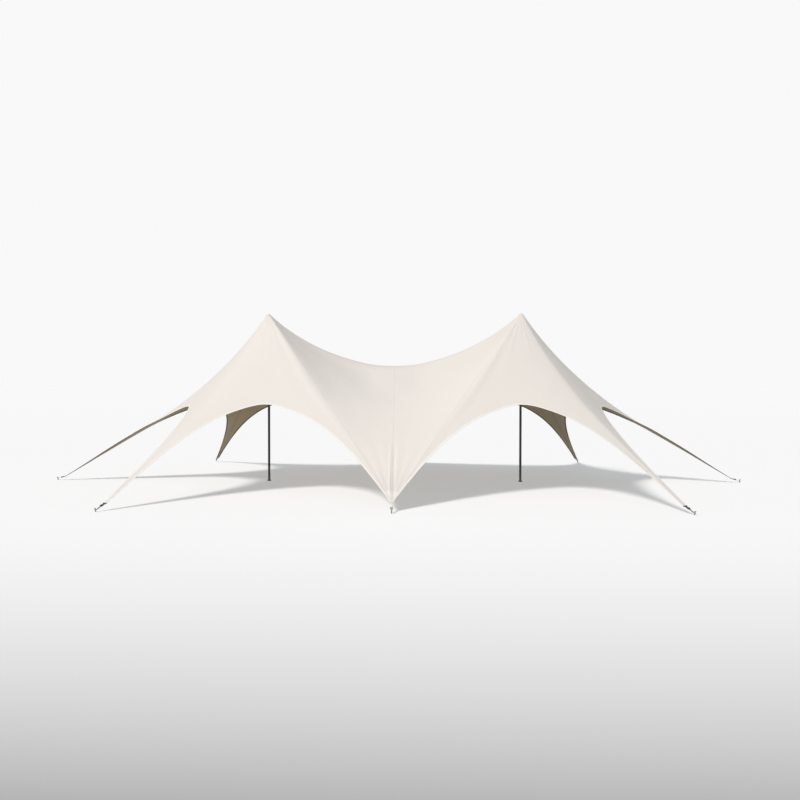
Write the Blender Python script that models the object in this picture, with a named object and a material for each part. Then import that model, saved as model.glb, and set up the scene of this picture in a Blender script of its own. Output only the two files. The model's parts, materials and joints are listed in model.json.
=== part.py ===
"""A star-shaped stretch tent on two masts, with eight pegged arms.

Metres, +Z up. The origin is on the ground midway between the masts, the long side runs along X,
and the tent is the same left and right, front and back.
"""

import math

import bmesh
import bpy
import numpy as np
from mathutils import Matrix, Vector

# Driving dimensions
MAST_X = 3.76
CANOPY_TOP = 4.95
END_ANCHOR = (10.2, 0.0)
CORNER_ANCHOR = (6.75, 5.94)
MIDDLE_ANCHOR = (0.0, 5.95)
TIP_WIDTH = 0.10
RING_RADIUS = 0.08
CLOTH = 0.005
GAP = 0.0003
SEAM_GAP = 0.0004

# Where the cloth of each arm ends: its way in from the stake and its height
TIP_PLACE = {"end": (0.24, 0.12), "corner": (0.28, 0.17), "middle": (0.30, 0.24)}

# The cloth's net: rows from peak to tip, columns from an arm's middle to its edge
ROWS = 20
COLUMNS = 4
ARCH_ROW = 10

# Tension in the net, as force per metre of length: in the cloth of each arm and of the saddle
# between the peaks, in the belts down the arms, and in the hems of each opening
ARM_PULL = {"end": 3.2, "corner": 3.7, "middle": 2.4}
SADDLE_PULL = 1.0
BELT_PULL = {"end": 6.1, "corner": 25.6, "middle": 1000.0}
HEM_PULL = {
    ("end", "side"): 3.0,
    ("corner", "side"): 5.5,
    ("corner", "front"): 3.0,
    ("middle", "front"): 4.9,
}
HEM_FALL = 1.5
RIDGE_PULL = 24.4
VALLEY_PULL = 0.1
CROSS_PULL = 0.88
CROSS_FALL = -0.92
ARM_CROSS = 2.33

# Masts
TUBE_RADIUS = 0.035
TUBE_WALL = 0.004
SLEEVE_RADIUS = 0.041
SLEEVE_LENGTH = 0.30
SLEEVE_BEVEL = 0.006
MAST_JOINT = 2.60
FOOT_RADIUS = 0.060
FOOT_RIM = 0.009
FOOT_HEIGHT = 0.035
FOOT_COLLAR = 0.041
HUB_RADIUS = 0.045
HUB_LENGTH = 0.06
HEAD_DEPTH = 0.10
CAP_HEIGHT = 0.07
# The cap's outline from its rim inwards, as (radius, height)
CAP_OUTLINE = [(0.088, 0.0), (0.048, 0.0315), (0.012, 0.065)]

# Corner fittings
PLATE_LENGTH = 0.055
PLATE_THICKNESS = 0.014
PLATE_FLARE = 0.012
PLATE_WAIST = 0.025
PLATE_NOSE = 0.006
WEBBING = (0.045, 0.006)
# The tightener's length, width and depth, its place along the free strap, its depth on both
# sides of the strap and at its lower end, and the length of its sloping ends
RATCHET = (0.085, 0.060, 0.034)
RATCHET_PLACE = 0.4
RATCHET_SHARES = (0.25, 0.75, 0.5)
RATCHET_TAPER = 0.004
HOOK_HEIGHT = 0.045
STAKE_RADIUS = 0.014
STAKE_HEIGHT = 0.09
STAKE_LEAN = math.radians(12)
STAKE_HEAD = (0.022, 0.010)
EYE_WALL = 0.010
EYE_HEIGHT = 0.014

SMOOTH_ANGLE = math.radians(40)

CLOTH_COLOUR = (0.86, 0.83, 0.78)
DARK_STEEL = (0.035, 0.035, 0.038)
ZINC = (0.32, 0.33, 0.34)
WEBBING_COLOUR = (0.75, 0.74, 0.70)


def material(name, colour, roughness, metallic=0.0):
    made = bpy.data.materials.new(name)
    made.use_nodes = True
    shader = made.node_tree.nodes["Principled BSDF"]
    shader.inputs["Base Color"].default_value = (*colour, 1.0)
    shader.inputs["Roughness"].default_value = roughness
    shader.inputs["Metallic"].default_value = metallic
    return made


def add_object(name, mesh, finish):
    part = bpy.data.objects.new(name, mesh)
    bpy.context.scene.collection.objects.link(part)
    mesh.materials.clear()
    mesh.materials.append(finish)
    return part


def unit(vector):
    return vector / np.linalg.norm(vector)


def arm_frame(arm, anchor, toward):
    """Tip of an arm, the way its strap runs down, its crosswise direction and its upward normal."""
    reach, height = TIP_PLACE[arm]
    ground = np.array([-anchor[0], -anchor[1], 0.0])
    inward = unit(np.array([toward - ground[0], -ground[1], 0.0]))
    tip = ground + inward * reach + np.array([0, 0, height])
    eye_side = STAKE_RADIUS + EYE_WALL / 2 - HOOK_HEIGHT * math.tan(STAKE_LEAN)
    hook = ground + inward * eye_side + np.array([0, 0, HOOK_HEIGHT])
    down = unit(hook - tip)
    across = np.array([-inward[1], inward[0], 0.0])
    return {"ground": ground, "inward": inward, "tip": tip, "hook": hook, "down": down, "across": across,
            "normal": np.cross(across, down)}


# One quarter of the net: the mast at -X with its end, corner and middle arms at -Y
ARMS = {
    "end": arm_frame("end", END_ANCHOR, -MAST_X),
    "corner": arm_frame("corner", CORNER_ANCHOR, -MAST_X),
    "middle": arm_frame("middle", MIDDLE_ANCHOR, 0.0),
}
# Each sector runs from an arm's middle to the opening or ridge beside it. Its share of the tip
# goes from the first to the second number, in half widths across the arm.
SECTORS = [
    ("end", "side", 0.0, -1.0),
    ("corner", "side", 0.0, 1.0),
    ("corner", "front", 0.0, -1.0),
    ("middle", "front", 0.5, 1.0),
    ("middle", "ridge", 0.5, 0.0),
]
FIRST_GUESS = {"side": (-7.4, -1.6, 2.3), "front": (-4.0, -1.6, 2.3), "ridge": (0.0, 0.0, 3.4)}


class Net:
    """The quarter net's points, found by balance of the pulls in its threads."""

    def __init__(self):
        self.numbers = {}
        self.points = []
        self.grids = {}
        self.held = {}
        for arm, beside, near, far in SECTORS:
            self.grids[arm, beside] = self.lay_sector(arm, beside, near, far)
        self.settle()

    def point(self, key, place, held=(False, False, False)):
        if key not in self.numbers:
            self.numbers[key] = len(self.points)
            self.points.append(np.array(place, float))
            self.held[self.numbers[key]] = held
        return self.numbers[key]

    def bearing(self, name):
        """Direction at the peak, in radians, of an arm or of the gap beside it."""
        if name == "ridge":
            return 2 * math.pi
        if name in ARMS:
            tip = ARMS[name]["tip"]
            return math.atan2(tip[1], tip[0] + MAST_X) % (2 * math.pi)
        pair = ("end", "corner") if name == "side" else ("corner", "middle")
        return sum(self.bearing(arm) for arm in pair) / 2

    def lay_sector(self, arm, beside, near, far):
        grid = np.zeros((ROWS + 1, COLUMNS + 1), int)
        peak = np.array([-MAST_X, 0.0, CANOPY_TOP])
        tip = ARMS[arm]["tip"]
        guess = np.array(FIRST_GUESS[beside])
        for row in range(ROWS + 1):
            inner = peak + (tip - peak) * row / ROWS
            if row <= ARCH_ROW:
                outer = peak + (guess - peak) * row / ARCH_ROW
            else:
                outer = guess + (tip - guess) * (row - ARCH_ROW) / (ROWS - ARCH_ROW)
            for column in range(COLUMNS + 1):
                share = column / COLUMNS
                place = inner + (outer - inner) * share
                held = [False, False, False]
                if row == 0:
                    turn = self.bearing(arm) * (1 - share) + self.bearing(beside) * share
                    place = peak + RING_RADIUS * np.array([math.cos(turn), math.sin(turn), 0.0])
                    key, held = ("ring", round(turn, 6)), [True] * 3
                elif row == ROWS:
                    offset = near + (far - near) * share
                    place = tip + ARMS[arm]["across"] * offset * TIP_WIDTH / 2
                    key, held = ("tip", arm, round(offset, 4)), [True] * 3
                elif column == 0:
                    key = ("middle line", arm, row)
                    held[1] = arm == "end"
                elif column == COLUMNS and row <= ARCH_ROW:
                    key = ("gap line", beside, row)
                    held[1] = beside == "ridge"
                    held[0] = beside == "ridge" and row == ARCH_ROW
                elif column == COLUMNS:
                    key = ("hem", arm, beside, row)
                    held[0] = beside == "ridge"
                else:
                    key = ("cloth", arm, beside, row, column)
                if not all(held):
                    place = [0.0 if held[axis] else place[axis] for axis in range(3)]
                grid[row, column] = self.point(key, place, tuple(held))
        return grid

    def lengthwise_pull(self, arm, beside, row, column):
        pull = SADDLE_PULL if beside == "ridge" else ARM_PULL[arm]
        if column == 0:
            return 0.5 * (pull + BELT_PULL[arm])
        if column < COLUMNS:
            return pull
        if beside == "ridge":
            return 0.5 * (pull + (RIDGE_PULL if row < ARCH_ROW else VALLEY_PULL))
        if row < ARCH_ROW:
            return 0.5 * pull
        way = (ROWS - row - 0.5) / (ROWS - ARCH_ROW)
        return 0.5 * pull + HEM_PULL[arm, beside] * way ** HEM_FALL

    def threads(self):
        for (arm, beside), grid in self.grids.items():
            for row in range(ROWS):
                for column in range(COLUMNS + 1):
                    pull = self.lengthwise_pull(arm, beside, row, column)
                    yield grid[row, column], grid[row + 1, column], pull
            for row in range(1, ROWS):
                pull = CROSS_PULL * (row / ROWS) ** CROSS_FALL * (ARM_CROSS if row > ARCH_ROW else 1.0)
                for column in range(COLUMNS):
                    yield grid[row, column], grid[row, column + 1], pull

    def settle(self):
        """Solves for the free points, where the pulls of the threads cancel out."""
        places = np.array(self.points)
        held = np.array([self.held[number] for number in range(len(places))])
        balance = np.zeros((len(places), len(places)))
        for first, second, pull in self.threads():
            balance[first, first] += pull
            balance[second, second] += pull
            balance[first, second] -= pull
            balance[second, first] -= pull
        for axis in range(3):
            fixed = held[:, axis]
            load = -balance[np.ix_(~fixed, fixed)] @ places[fixed, axis]
            places[~fixed, axis] = np.linalg.solve(balance[np.ix_(~fixed, ~fixed)], load)
        self.places = places

    def normals(self):
        """Outward direction of the cloth at each point of the quarter."""
        total = np.zeros_like(self.places)
        for (arm, beside), grid in self.grids.items():
            corners = self.places[grid]
            facing = np.cross(corners[1:, 1:] - corners[:-1, :-1], corners[1:, :-1] - corners[:-1, 1:])
            facing *= np.sign(facing[..., 2:].sum())
            for shift_row in (0, 1):
                for shift_column in (0, 1):
                    part = grid[shift_row:ROWS + shift_row, shift_column:COLUMNS + shift_column]
                    np.add.at(total, part, facing)
        for key, number in self.numbers.items():
            if key[0] == "ring":
                total[number] = (0, 0, 1)
            elif key[0] == "tip":
                total[number] = ARMS[key[1]]["normal"]
            elif key[0] == "middle line" and key[1] == "end" or key[0] == "gap line" and key[1] == "ridge":
                total[number, 1] = 0
            if key[0] == "hem" and key[2] == "ridge" or key == ("gap line", "ridge", ARCH_ROW):
                total[number, 0] = 0
        return total / np.linalg.norm(total, axis=1, keepdims=True)


def seam_pull(net, grid, column, inside_column):
    """For the points of a seam between two panels, the way into the panel, across the seam."""
    seam = net.places[grid[:, column]]
    along = np.gradient(seam, axis=0)
    along /= np.linalg.norm(along, axis=1, keepdims=True)
    inward = net.places[grid[:, inside_column]] - seam
    inward -= along * (inward * along).sum(axis=1, keepdims=True)
    return inward / np.linalg.norm(inward, axis=1, keepdims=True)


class Panel:
    """One sewn panel of the canopy, as a closed sheet that stops just short of its seams."""

    def __init__(self, net, normals):
        self.net = net
        self.normals = normals
        self.mesh = bmesh.new()
        self.found = {}
        self.faces = []

    def corner(self, number, flip, pull):
        place = self.net.places[number] * flip
        key = tuple(np.round(place, 5))
        if key not in self.found:
            shifted = place + pull * flip * SEAM_GAP / 2
            outward = self.normals[number] * flip * CLOTH / 2
            self.found[key] = tuple(self.mesh.verts.new(shifted + way * outward) for way in (1, -1))
        return self.found[key]

    def add_sector(self, arm, beside, flip, seams):
        """Adds a sector, mirrored by flip. seams says which of its lines are sewn to another panel."""
        grid = self.net.grids[arm, beside]
        pulls = np.zeros((ROWS + 1, COLUMNS + 1, 3))
        if "middle" in seams:
            pulls[:, 0] = seam_pull(self.net, grid, 0, 1)
        if "mirror" in seams:
            pulls[:, 0] = (0.0, -1.0, 0.0)
        if "ridge" in seams:
            pulls[:ARCH_ROW + 1, COLUMNS] = (0.0, -1.0, 0.0)
        if "valley" in seams:
            pulls[ARCH_ROW:, COLUMNS] += (-1.0, 0.0, 0.0)
        pairs = [[self.corner(grid[row, column], flip, pulls[row, column]) for column in range(COLUMNS + 1)]
                 for row in range(ROWS + 1)]
        for row in range(ROWS):
            for column in range(COLUMNS):
                around = [(row, column), (row + 1, column), (row + 1, column + 1), (row, column + 1)]
                self.add_patch([pairs[r][c] for r, c in around], self.normals[grid[row, column]] * flip)

    def add_patch(self, around, outward):
        """Two triangles, cut along the shorter diagonal on both sides, so the sheet keeps its thickness."""
        places = [np.array(outer.co) for outer, inner in around]
        diagonals = places[2] - places[0], places[3] - places[1]
        if np.dot(np.cross(*diagonals), outward) < 0:
            around = [around[0]] + around[:0:-1]
        if np.linalg.norm(diagonals[0]) > np.linalg.norm(diagonals[1]):
            around = around[1:] + around[:1]
        self.faces += [around[:3], [around[0], around[2], around[3]]]

    def build(self, name, finish):
        edges = {}
        for around in self.faces:
            self.mesh.faces.new([pair[0] for pair in around])
            self.mesh.faces.new([pair[1] for pair in reversed(around)])
            edges.update(dict.fromkeys(zip(around, around[1:] + around[:1])))
        for first, second in edges:
            if (second, first) not in edges:
                self.add_wall(first, second)
        bmesh.ops.recalc_face_normals(self.mesh, faces=self.mesh.faces)
        mesh = bpy.data.meshes.new(name)
        self.mesh.to_mesh(mesh)
        self.mesh.free()
        mesh.shade_smooth()
        mesh.set_sharp_from_angle(angle=SMOOTH_ANGLE)
        return add_object(name, mesh, finish)

    def add_wall(self, first, second):
        """Closes the sheet's rim. Both walls of a seam are cut along one diagonal, so they stay apart."""
        swap = first[1].co.z < second[1].co.z
        corners = [second[0], first[0], first[1], second[1]]
        if swap:
            corners = corners[1:] + corners[:1]
        self.mesh.faces.new([corners[0], corners[1], corners[2]])
        self.mesh.faces.new([corners[0], corners[2], corners[3]])


def add_canopy(net, finish):
    normals = net.normals()
    sides = {"left": 1.0, "right": -1.0}
    depths = {"front": 1.0, "back": -1.0}
    for side, flip_x in sides.items():
        for depth, flip_y in depths.items():
            flip = np.array([flip_x, flip_y, 1.0])
            panel = Panel(net, normals)
            panel.add_sector("end", "side", flip, {"mirror"})
            panel.add_sector("corner", "side", flip, {"middle"})
            panel.build(f"canopy_end_{depth}_{side}", finish)
            panel = Panel(net, normals)
            panel.add_sector("corner", "front", flip, {"middle"})
            panel.add_sector("middle", "front", flip, {"middle"})
            panel.build(f"canopy_arch_{depth}_{side}", finish)
            panel = Panel(net, normals)
            panel.add_sector("middle", "ridge", flip, {"middle", "ridge", "valley"})
            panel.build(f"canopy_saddle_{depth}_{side}", finish)


def turned(name, outline, finish, place, steps=32):
    """A solid turned about a vertical axis. The outline's points are (radius, height), going up outside."""
    shape = bmesh.new()
    rings = []
    for radius, height in outline:
        if radius == 0:
            rings.append([shape.verts.new((0, 0, height))])
            continue
        turns = [2 * math.pi * step / steps for step in range(steps)]
        rings.append([shape.verts.new((radius * math.cos(t), radius * math.sin(t), height)) for t in turns])
    for lower, upper in zip(rings, rings[1:] + rings[:1]):
        for step in range(steps):
            after = (step + 1) % steps
            if len(lower) == 1 and len(upper) == 1:
                break
            if len(lower) == 1:
                shape.faces.new([lower[0], upper[after], upper[step]])
            elif len(upper) == 1:
                shape.faces.new([lower[step], lower[after], upper[0]])
            else:
                shape.faces.new([lower[step], lower[after], upper[after], upper[step]])
    return finished(name, shape, finish, place)


def finished(name, shape, finish, place):
    bmesh.ops.recalc_face_normals(shape, faces=shape.faces)
    mesh = bpy.data.meshes.new(name)
    shape.to_mesh(mesh)
    shape.free()
    mesh.shade_smooth()
    mesh.set_sharp_from_angle(angle=SMOOTH_ANGLE)
    part = add_object(name, mesh, finish)
    part.location = place
    return part


def add_mast(side, flip_x, net, dark, cloth_finish):
    base = (-MAST_X * flip_x, 0.0, 0.0)
    turned(f"mast_foot_{side}", [(0, 0), (FOOT_RADIUS, 0), (FOOT_RADIUS, FOOT_RIM),
                                 (FOOT_COLLAR, FOOT_HEIGHT), (0, FOOT_HEIGHT)], dark, base)
    hole = TUBE_RADIUS - TUBE_WALL
    low = FOOT_HEIGHT + GAP
    sleeve_foot = MAST_JOINT - SLEEVE_LENGTH / 2
    sleeve_top = MAST_JOINT + SLEEVE_LENGTH / 2
    turned(f"mast_lower_{side}", [(hole, low), (TUBE_RADIUS, low), (TUBE_RADIUS, sleeve_foot),
                                  (SLEEVE_RADIUS, sleeve_foot + SLEEVE_BEVEL), (SLEEVE_RADIUS, sleeve_top),
                                  (TUBE_RADIUS + GAP, sleeve_top), (TUBE_RADIUS + GAP, MAST_JOINT),
                                  (hole, MAST_JOINT)], dark, base)
    head_foot = CANOPY_TOP - HEAD_DEPTH
    turned(f"mast_upper_{side}", [(hole, MAST_JOINT + GAP), (TUBE_RADIUS, MAST_JOINT + GAP),
                                  (TUBE_RADIUS, head_foot - GAP), (hole, head_foot - GAP)], dark, base)
    add_head(side, flip_x, net, dark)
    cap_foot = CANOPY_TOP + CLOTH / 2 + GAP
    cap = [(radius, cap_foot + height) for radius, height in [(0, 0)] + CAP_OUTLINE + [(0, CAP_HEIGHT)]]
    turned(f"peak_cap_{side}", cap, cloth_finish, base)


def add_head(side, flip_x, net, finish):
    """The disc that carries the canopy's ring, many-sided as the cloth's inner edge is, on a hub."""
    quarter = [key[1] for key in net.numbers if key[0] == "ring"]
    turns = sorted({round(turn % (2 * math.pi), 5) for t in quarter for turn in (t, -t)})
    shape = bmesh.new()
    rings = []
    heights = (-HEAD_DEPTH, HUB_LENGTH - HEAD_DEPTH, -CLOTH, CLOTH / 2)
    radii = (HUB_RADIUS, HUB_RADIUS, RING_RADIUS - GAP, RING_RADIUS - GAP)
    for radius, height in zip(radii, heights):
        around = [(flip_x * radius * math.cos(turn), radius * math.sin(turn)) for turn in turns]
        rings.append([shape.verts.new((*place, CANOPY_TOP + height)) for place in around])
    for lower, upper in zip(rings, rings[1:]):
        for step in range(len(turns)):
            after = (step + 1) % len(turns)
            shape.faces.new([lower[step], lower[after], upper[after], upper[step]])
    shape.faces.new(rings[0])
    shape.faces.new(rings[-1])
    finished(f"mast_head_{side}", shape, finish, (-MAST_X * flip_x, 0.0, 0.0))


def loft(sections):
    """A closed bar through rectangles, each given as (place along, half width, low, high)."""
    shape = bmesh.new()
    rings = []
    for along, half, low, high in sections:
        corners = ((-half, low), (half, low), (half, high), (-half, high))
        rings.append([shape.verts.new((along, y, z)) for y, z in corners])
    for first, second in zip(rings, rings[1:]):
        for i in range(4):
            shape.faces.new([first[i], first[(i + 1) % 4], second[(i + 1) % 4], second[i]])
    shape.faces.new(rings[0])
    shape.faces.new(rings[-1])
    return shape


def add_anchor(name, frame, steel, webbing, zinc):
    """One pegged corner: the plate at the cloth's tip, the strap with its tightener, and the stake."""
    down, normal = Vector(frame["down"]), Vector(frame["normal"])
    across = normal.cross(down)
    turn = Matrix((down, across, normal)).transposed().to_4x4()
    at_tip = Matrix.Translation(Vector(frame["tip"])) @ turn
    half, thick = TIP_WIDTH / 2, PLATE_THICKNESS / 2
    plate = loft([(GAP, half + PLATE_FLARE, -thick, thick), (PLATE_WAIST, half, -thick, thick),
                  (PLATE_LENGTH, WEBBING[0] / 2 + PLATE_NOSE, -thick, thick)])
    finished(f"corner_plate_{name}", plate, steel, (0, 0, 0)).data.transform(at_tip)

    stake_shear = Matrix(((1, 0, -math.tan(STAKE_LEAN), 0), (0, 1, 0, 0), (0, 0, 1, 0), (0, 0, 0, 1)))
    inward = Vector(frame["inward"])
    upright = Matrix((inward, Vector((0, 0, 1)).cross(inward), Vector((0, 0, 1)))).transposed().to_4x4()
    at_ground = Matrix.Translation(Vector(frame["ground"])) @ upright @ stake_shear
    add_stake(name, at_ground, zinc)

    reach = (Vector(frame["hook"]) - Vector(frame["tip"])).length
    eye_radius = STAKE_RADIUS + GAP + EYE_WALL
    start = PLATE_LENGTH + GAP
    long, wide, tall = RATCHET
    body = start + (reach - start - long) * RATCHET_PLACE
    width, web = WEBBING[0] / 2, WEBBING[1] / 2
    below, above, above_end = [tall * share for share in RATCHET_SHARES]
    strap = finished(f"strap_{name}", loft([
        (start, width, -web, web),
        (body, width, -web, web),
        (body + RATCHET_TAPER, wide / 2, -below, above),
        (body + long, wide / 2, -below, above_end),
        (body + long + RATCHET_TAPER, width, -web, web),
        (reach, EYE_WALL, -web, web),
    ]), webbing, (0, 0, 0))
    strap.data.transform(at_tip)
    low, high = HOOK_HEIGHT - EYE_HEIGHT / 2, HOOK_HEIGHT + EYE_HEIGHT / 2
    eye = turned("eye_" + name, [(STAKE_RADIUS + GAP, low), (eye_radius, low), (eye_radius, high),
                                 (STAKE_RADIUS + GAP, high)], webbing, (0, 0, 0), steps=20)
    eye.data.transform(at_ground)
    join(strap, eye)


def join(part, other):
    other.hide_render = True
    other.display_type = "WIRE"
    union = part.modifiers.new("Joined", "BOOLEAN")
    union.operation = "UNION"
    union.solver = "EXACT"
    union.object = other


def add_stake(name, at_ground, zinc):
    head_radius, head_height = STAKE_HEAD
    neck = STAKE_HEIGHT - head_height
    outline = [(0, 0), (STAKE_RADIUS, 0), (STAKE_RADIUS, neck), (head_radius, neck),
               (head_radius, STAKE_HEIGHT), (0, STAKE_HEIGHT)]
    stake = turned(f"stake_{name}", outline, zinc, (0, 0, 0), steps=20)
    stake.data.transform(at_ground)


def mirrored(frame, flip_x, flip_y):
    """The frame of the same arm in another quarter of the tent."""
    flip = np.array([flip_x, flip_y, 1.0])
    return {key: value * flip for key, value in frame.items()}


def main():
    for old in list(bpy.data.objects):
        bpy.data.objects.remove(old)
    cloth_finish = material("canopy_cloth", CLOTH_COLOUR, 0.75)
    dark = material("dark_steel", DARK_STEEL, 0.45, 0.6)
    zinc = material("zinc_steel", ZINC, 0.4, 0.9)
    webbing = material("webbing", WEBBING_COLOUR, 0.8)
    net = Net()
    add_canopy(net, cloth_finish)
    for side, flip_x in (("left", 1.0), ("right", -1.0)):
        add_mast(side, flip_x, net, dark, cloth_finish)
        add_anchor(f"end_{side}", mirrored(ARMS["end"], flip_x, 1), dark, webbing, zinc)
        for depth, flip_y in (("front", 1.0), ("back", -1.0)):
            add_anchor(f"{depth}_{side}", mirrored(ARMS["corner"], flip_x, flip_y), dark, webbing, zinc)
    for depth, flip_y in (("front", 1.0), ("back", -1.0)):
        add_anchor(f"{depth}_middle", mirrored(ARMS["middle"], 1, flip_y), dark, webbing, zinc)


main()
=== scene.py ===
"""Dresses a two-mast stretch tent: its sewn cloth, hems, seams and belts, its masts and its ground fittings.

Metres, +Z up, in the axes of the frame: the masts stand on X, and +Y runs away from the camera.
"""

import json
import math

import bmesh
import bpy
import numpy as np
from bpy.props import FloatProperty, FloatVectorProperty, IntProperty, PointerProperty
from mathutils import Matrix, Vector
from mathutils.bvhtree import BVHTree


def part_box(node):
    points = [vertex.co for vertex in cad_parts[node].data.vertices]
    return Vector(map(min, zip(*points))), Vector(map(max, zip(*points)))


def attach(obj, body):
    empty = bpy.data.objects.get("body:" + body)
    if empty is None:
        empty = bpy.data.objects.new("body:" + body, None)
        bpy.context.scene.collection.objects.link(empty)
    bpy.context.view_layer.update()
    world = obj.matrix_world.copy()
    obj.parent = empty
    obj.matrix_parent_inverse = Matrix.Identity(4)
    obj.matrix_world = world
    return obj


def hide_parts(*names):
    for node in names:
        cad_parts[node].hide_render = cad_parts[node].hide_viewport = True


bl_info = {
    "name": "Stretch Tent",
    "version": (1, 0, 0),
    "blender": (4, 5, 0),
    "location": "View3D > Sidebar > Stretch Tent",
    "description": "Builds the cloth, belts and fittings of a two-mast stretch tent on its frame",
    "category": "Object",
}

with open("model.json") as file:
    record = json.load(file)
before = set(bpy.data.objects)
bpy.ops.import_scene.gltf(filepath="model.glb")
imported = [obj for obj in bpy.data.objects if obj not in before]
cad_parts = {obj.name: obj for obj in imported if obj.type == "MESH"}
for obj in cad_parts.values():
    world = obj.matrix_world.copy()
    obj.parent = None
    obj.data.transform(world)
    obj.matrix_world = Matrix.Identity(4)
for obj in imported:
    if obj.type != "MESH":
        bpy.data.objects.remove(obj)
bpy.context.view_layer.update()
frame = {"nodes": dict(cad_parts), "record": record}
BODY = "root"
TINY = 1e-6

# Places read from the frame: stakes and masts stand where its mounts are, and its cloth, SHEET thick, lies
# over the mast heads. It leaves each peak from a ring and ends in a tip of its own width at each arm.
MOUNTS = {mount["name"]: Vector(mount["pos_m"]) for mount in frame["record"]["mounts"]}
MAST_X = MOUNTS["mast_foot_right"].x
SHEET = 0.005
CANOPY_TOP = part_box("mast_head_left")[1].z - SHEET / 2
RING_RADIUS = 0.08
TIP_WIDTH = 0.10

# Where the cloth of each arm ends: its way in from the stake and its height
TIP_PLACE = {"end": (0.24, 0.12), "corner": (0.28, 0.17), "middle": (0.30, 0.24)}

# The cloth's net: rows from peak to tip, columns from an arm's middle to its edge
ROWS = 20
COLUMNS = 4
ARCH_ROW = 10

# Tension in the net, as force per metre of length: in the cloth of each arm and of the saddle
# between the peaks, in the belts down the arms, and in the hems of each opening
ARM_PULL = {"end": 3.2, "corner": 3.7, "middle": 2.4}
SADDLE_PULL = 1.0
BELT_PULL = {"end": 6.1, "corner": 25.6, "middle": 1000.0}
HEM_PULL = {
    ("end", "side"): 3.0,
    ("corner", "side"): 5.5,
    ("corner", "front"): 3.0,
    ("middle", "front"): 4.9,
}
HEM_FALL = 1.5
RIDGE_PULL = 24.4
VALLEY_PULL = 0.1
CROSS_PULL = 0.88
CROSS_FALL = -0.92
ARM_CROSS = 2.33

# The side arches hang a little lower than their threads alone, and the end arms are slim where they leave
# them, then widen and cup upwards at their hems. Shares are of the way from peak to tip.
SIDE_ARCH_DROP = 0.045
DROP_REACH = 0.13
WAIST = 0.24
WAIST_PLACE = 0.62
WAIST_REACH = 0.08
WIDEN = 0.6
WIDEN_SPAN = (0.66, 0.88)
CUP = 0.05
CUP_START = (0.60, 0.72)
CUP_END = (0.80, 1.0)

# The ridge's two halves meet in a round hollow and not in a kink: its lift, how far the lift reaches along
# the ridge and down from it, the ring where its even curve fades out, and the longest edge left in it
HOLLOW_LIFT = 0.053
HOLLOW_REACH = 1.065
HOLLOW_DEPTH = 1.6
HOLLOW_RING = (0.4, 1.3)
HOLLOW_EDGE = 0.07
HOLLOW_HALVINGS = 3
HOLLOW_POWERS = ((0, 0), (2, 0), (0, 2), (4, 0), (2, 2), (0, 4))

# The smooth sheet through the net: rounds of fitting, and how far its creases are eased
FIT_ROUNDS = 6
EASE = 0.5

# Tension folds. They fan out from each tip and each peak, and one stands beside each valley. Shares are of
# the way from peak to tip.
TIP_FOLD_SHARE = {"end": 0.6, "corner": 1.0, "middle": 0.35}
TIP_FOLD_RISE = (0.66, 0.9)
TIP_FOLD_FALL = (0.93, 1.0)
TIP_FOLD_LOSS = 0.5
PEAK_FOLD_RISE = (0.0, 0.03)
PEAK_FOLD_FALL = (0.05, 0.3)
ARM_PHASE = {"end": 0.4, "corner": 1.9, "middle": 3.1}
SIDE_PHASE = {"left": 0.9, "right": 0.0}
FOLDS_AT_TIP = 3
FOLDS_AT_PEAK = 3
VALLEY_FOLD_RISE = (0.72, 0.82)
VALLEY_FOLD_FALL = (0.955, 0.99)
VALLEY_FOLD_AWAY = 0.05
VALLEY_FOLD_WIDTH = 0.03
VALLEY_FOLD_SIDE = {"left": 1.0, "right": -0.8}

# The arms that hold each panel
NEIGHBOURS = {"end": ("end", "corner"), "arch": ("corner", "middle"), "saddle": ("middle",)}

# Patches, as shares of the way down, with the metres that a share of 1 stands for in their pattern
PEAK_PATCH = (-1.0, 0.05)
TIP_PATCH = (0.96, 2.0)
PATCH_SPAN = (0.4, 8.0)
PATCH_THICKNESS = 0.0006

# Hems and seams: the hem's folded layer, its steps at both sides and its round nose, and the thickness of
# tapes and belts, which sink into the cloth a little
HEM_LAYER = 0.0016
HEM_STEP = 0.002
HEM_ROOT = 0.004
HEM_NOSE = (0.0012, 0.0022)
HEM_ROUNDING = 0.8
TAPE_THICKNESS = 0.0011
BELT_THICKNESS = 0.0026
SEAM_SINK = 0.0004
BAND_STOPS = (-1.0, -0.95, -0.5, 0.0, 0.5, 0.95, 1.0)

# A step from a panel's border, taken to find on which side its cloth lies
PROBE = 0.03

# Angles in degrees beyond which an edge stays sharp, and the least part of a direction that counts as along
# an axis
SOFT_ANGLE = 40.0
BAND_ANGLE = 50.0
CUT_ANGLE = 60.0
NO_EDGE = 180.0
HARD_ANGLE = 35.0
ALONG = 0.9

# Stakes: where the strap's eye holds them, their leaning shank and the wall of the eye
HOOK_HEIGHT = 0.045
STAKE_RADIUS = 0.014
STAKE_LEAN = math.radians(12)
EYE_WALL = 0.010

# Clamps: length and thickness, how far they reach beyond the cloth's sides, half the width of their nose, the
# margin round their sunk faces, and their bolts. A middle arm has a sleeve of cloth round its clamp, with
# its wall, its room at the sides, its lap over the tip and its reach past the nose.
PLATE = (0.055, 0.014)
PLATE_FLARE = 0.012
PLATE_NOSE = 0.0285
SUNK_MARGIN = 0.006
PLATE_BOLTS = (-0.038, 0.0, 0.038)
PLATE_BOLTS_AT = 0.018
POCKET_WALL = 0.002
POCKET_SIDE = 0.006
POCKET_LAP = 0.006
POCKET_OVER = 0.001

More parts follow.
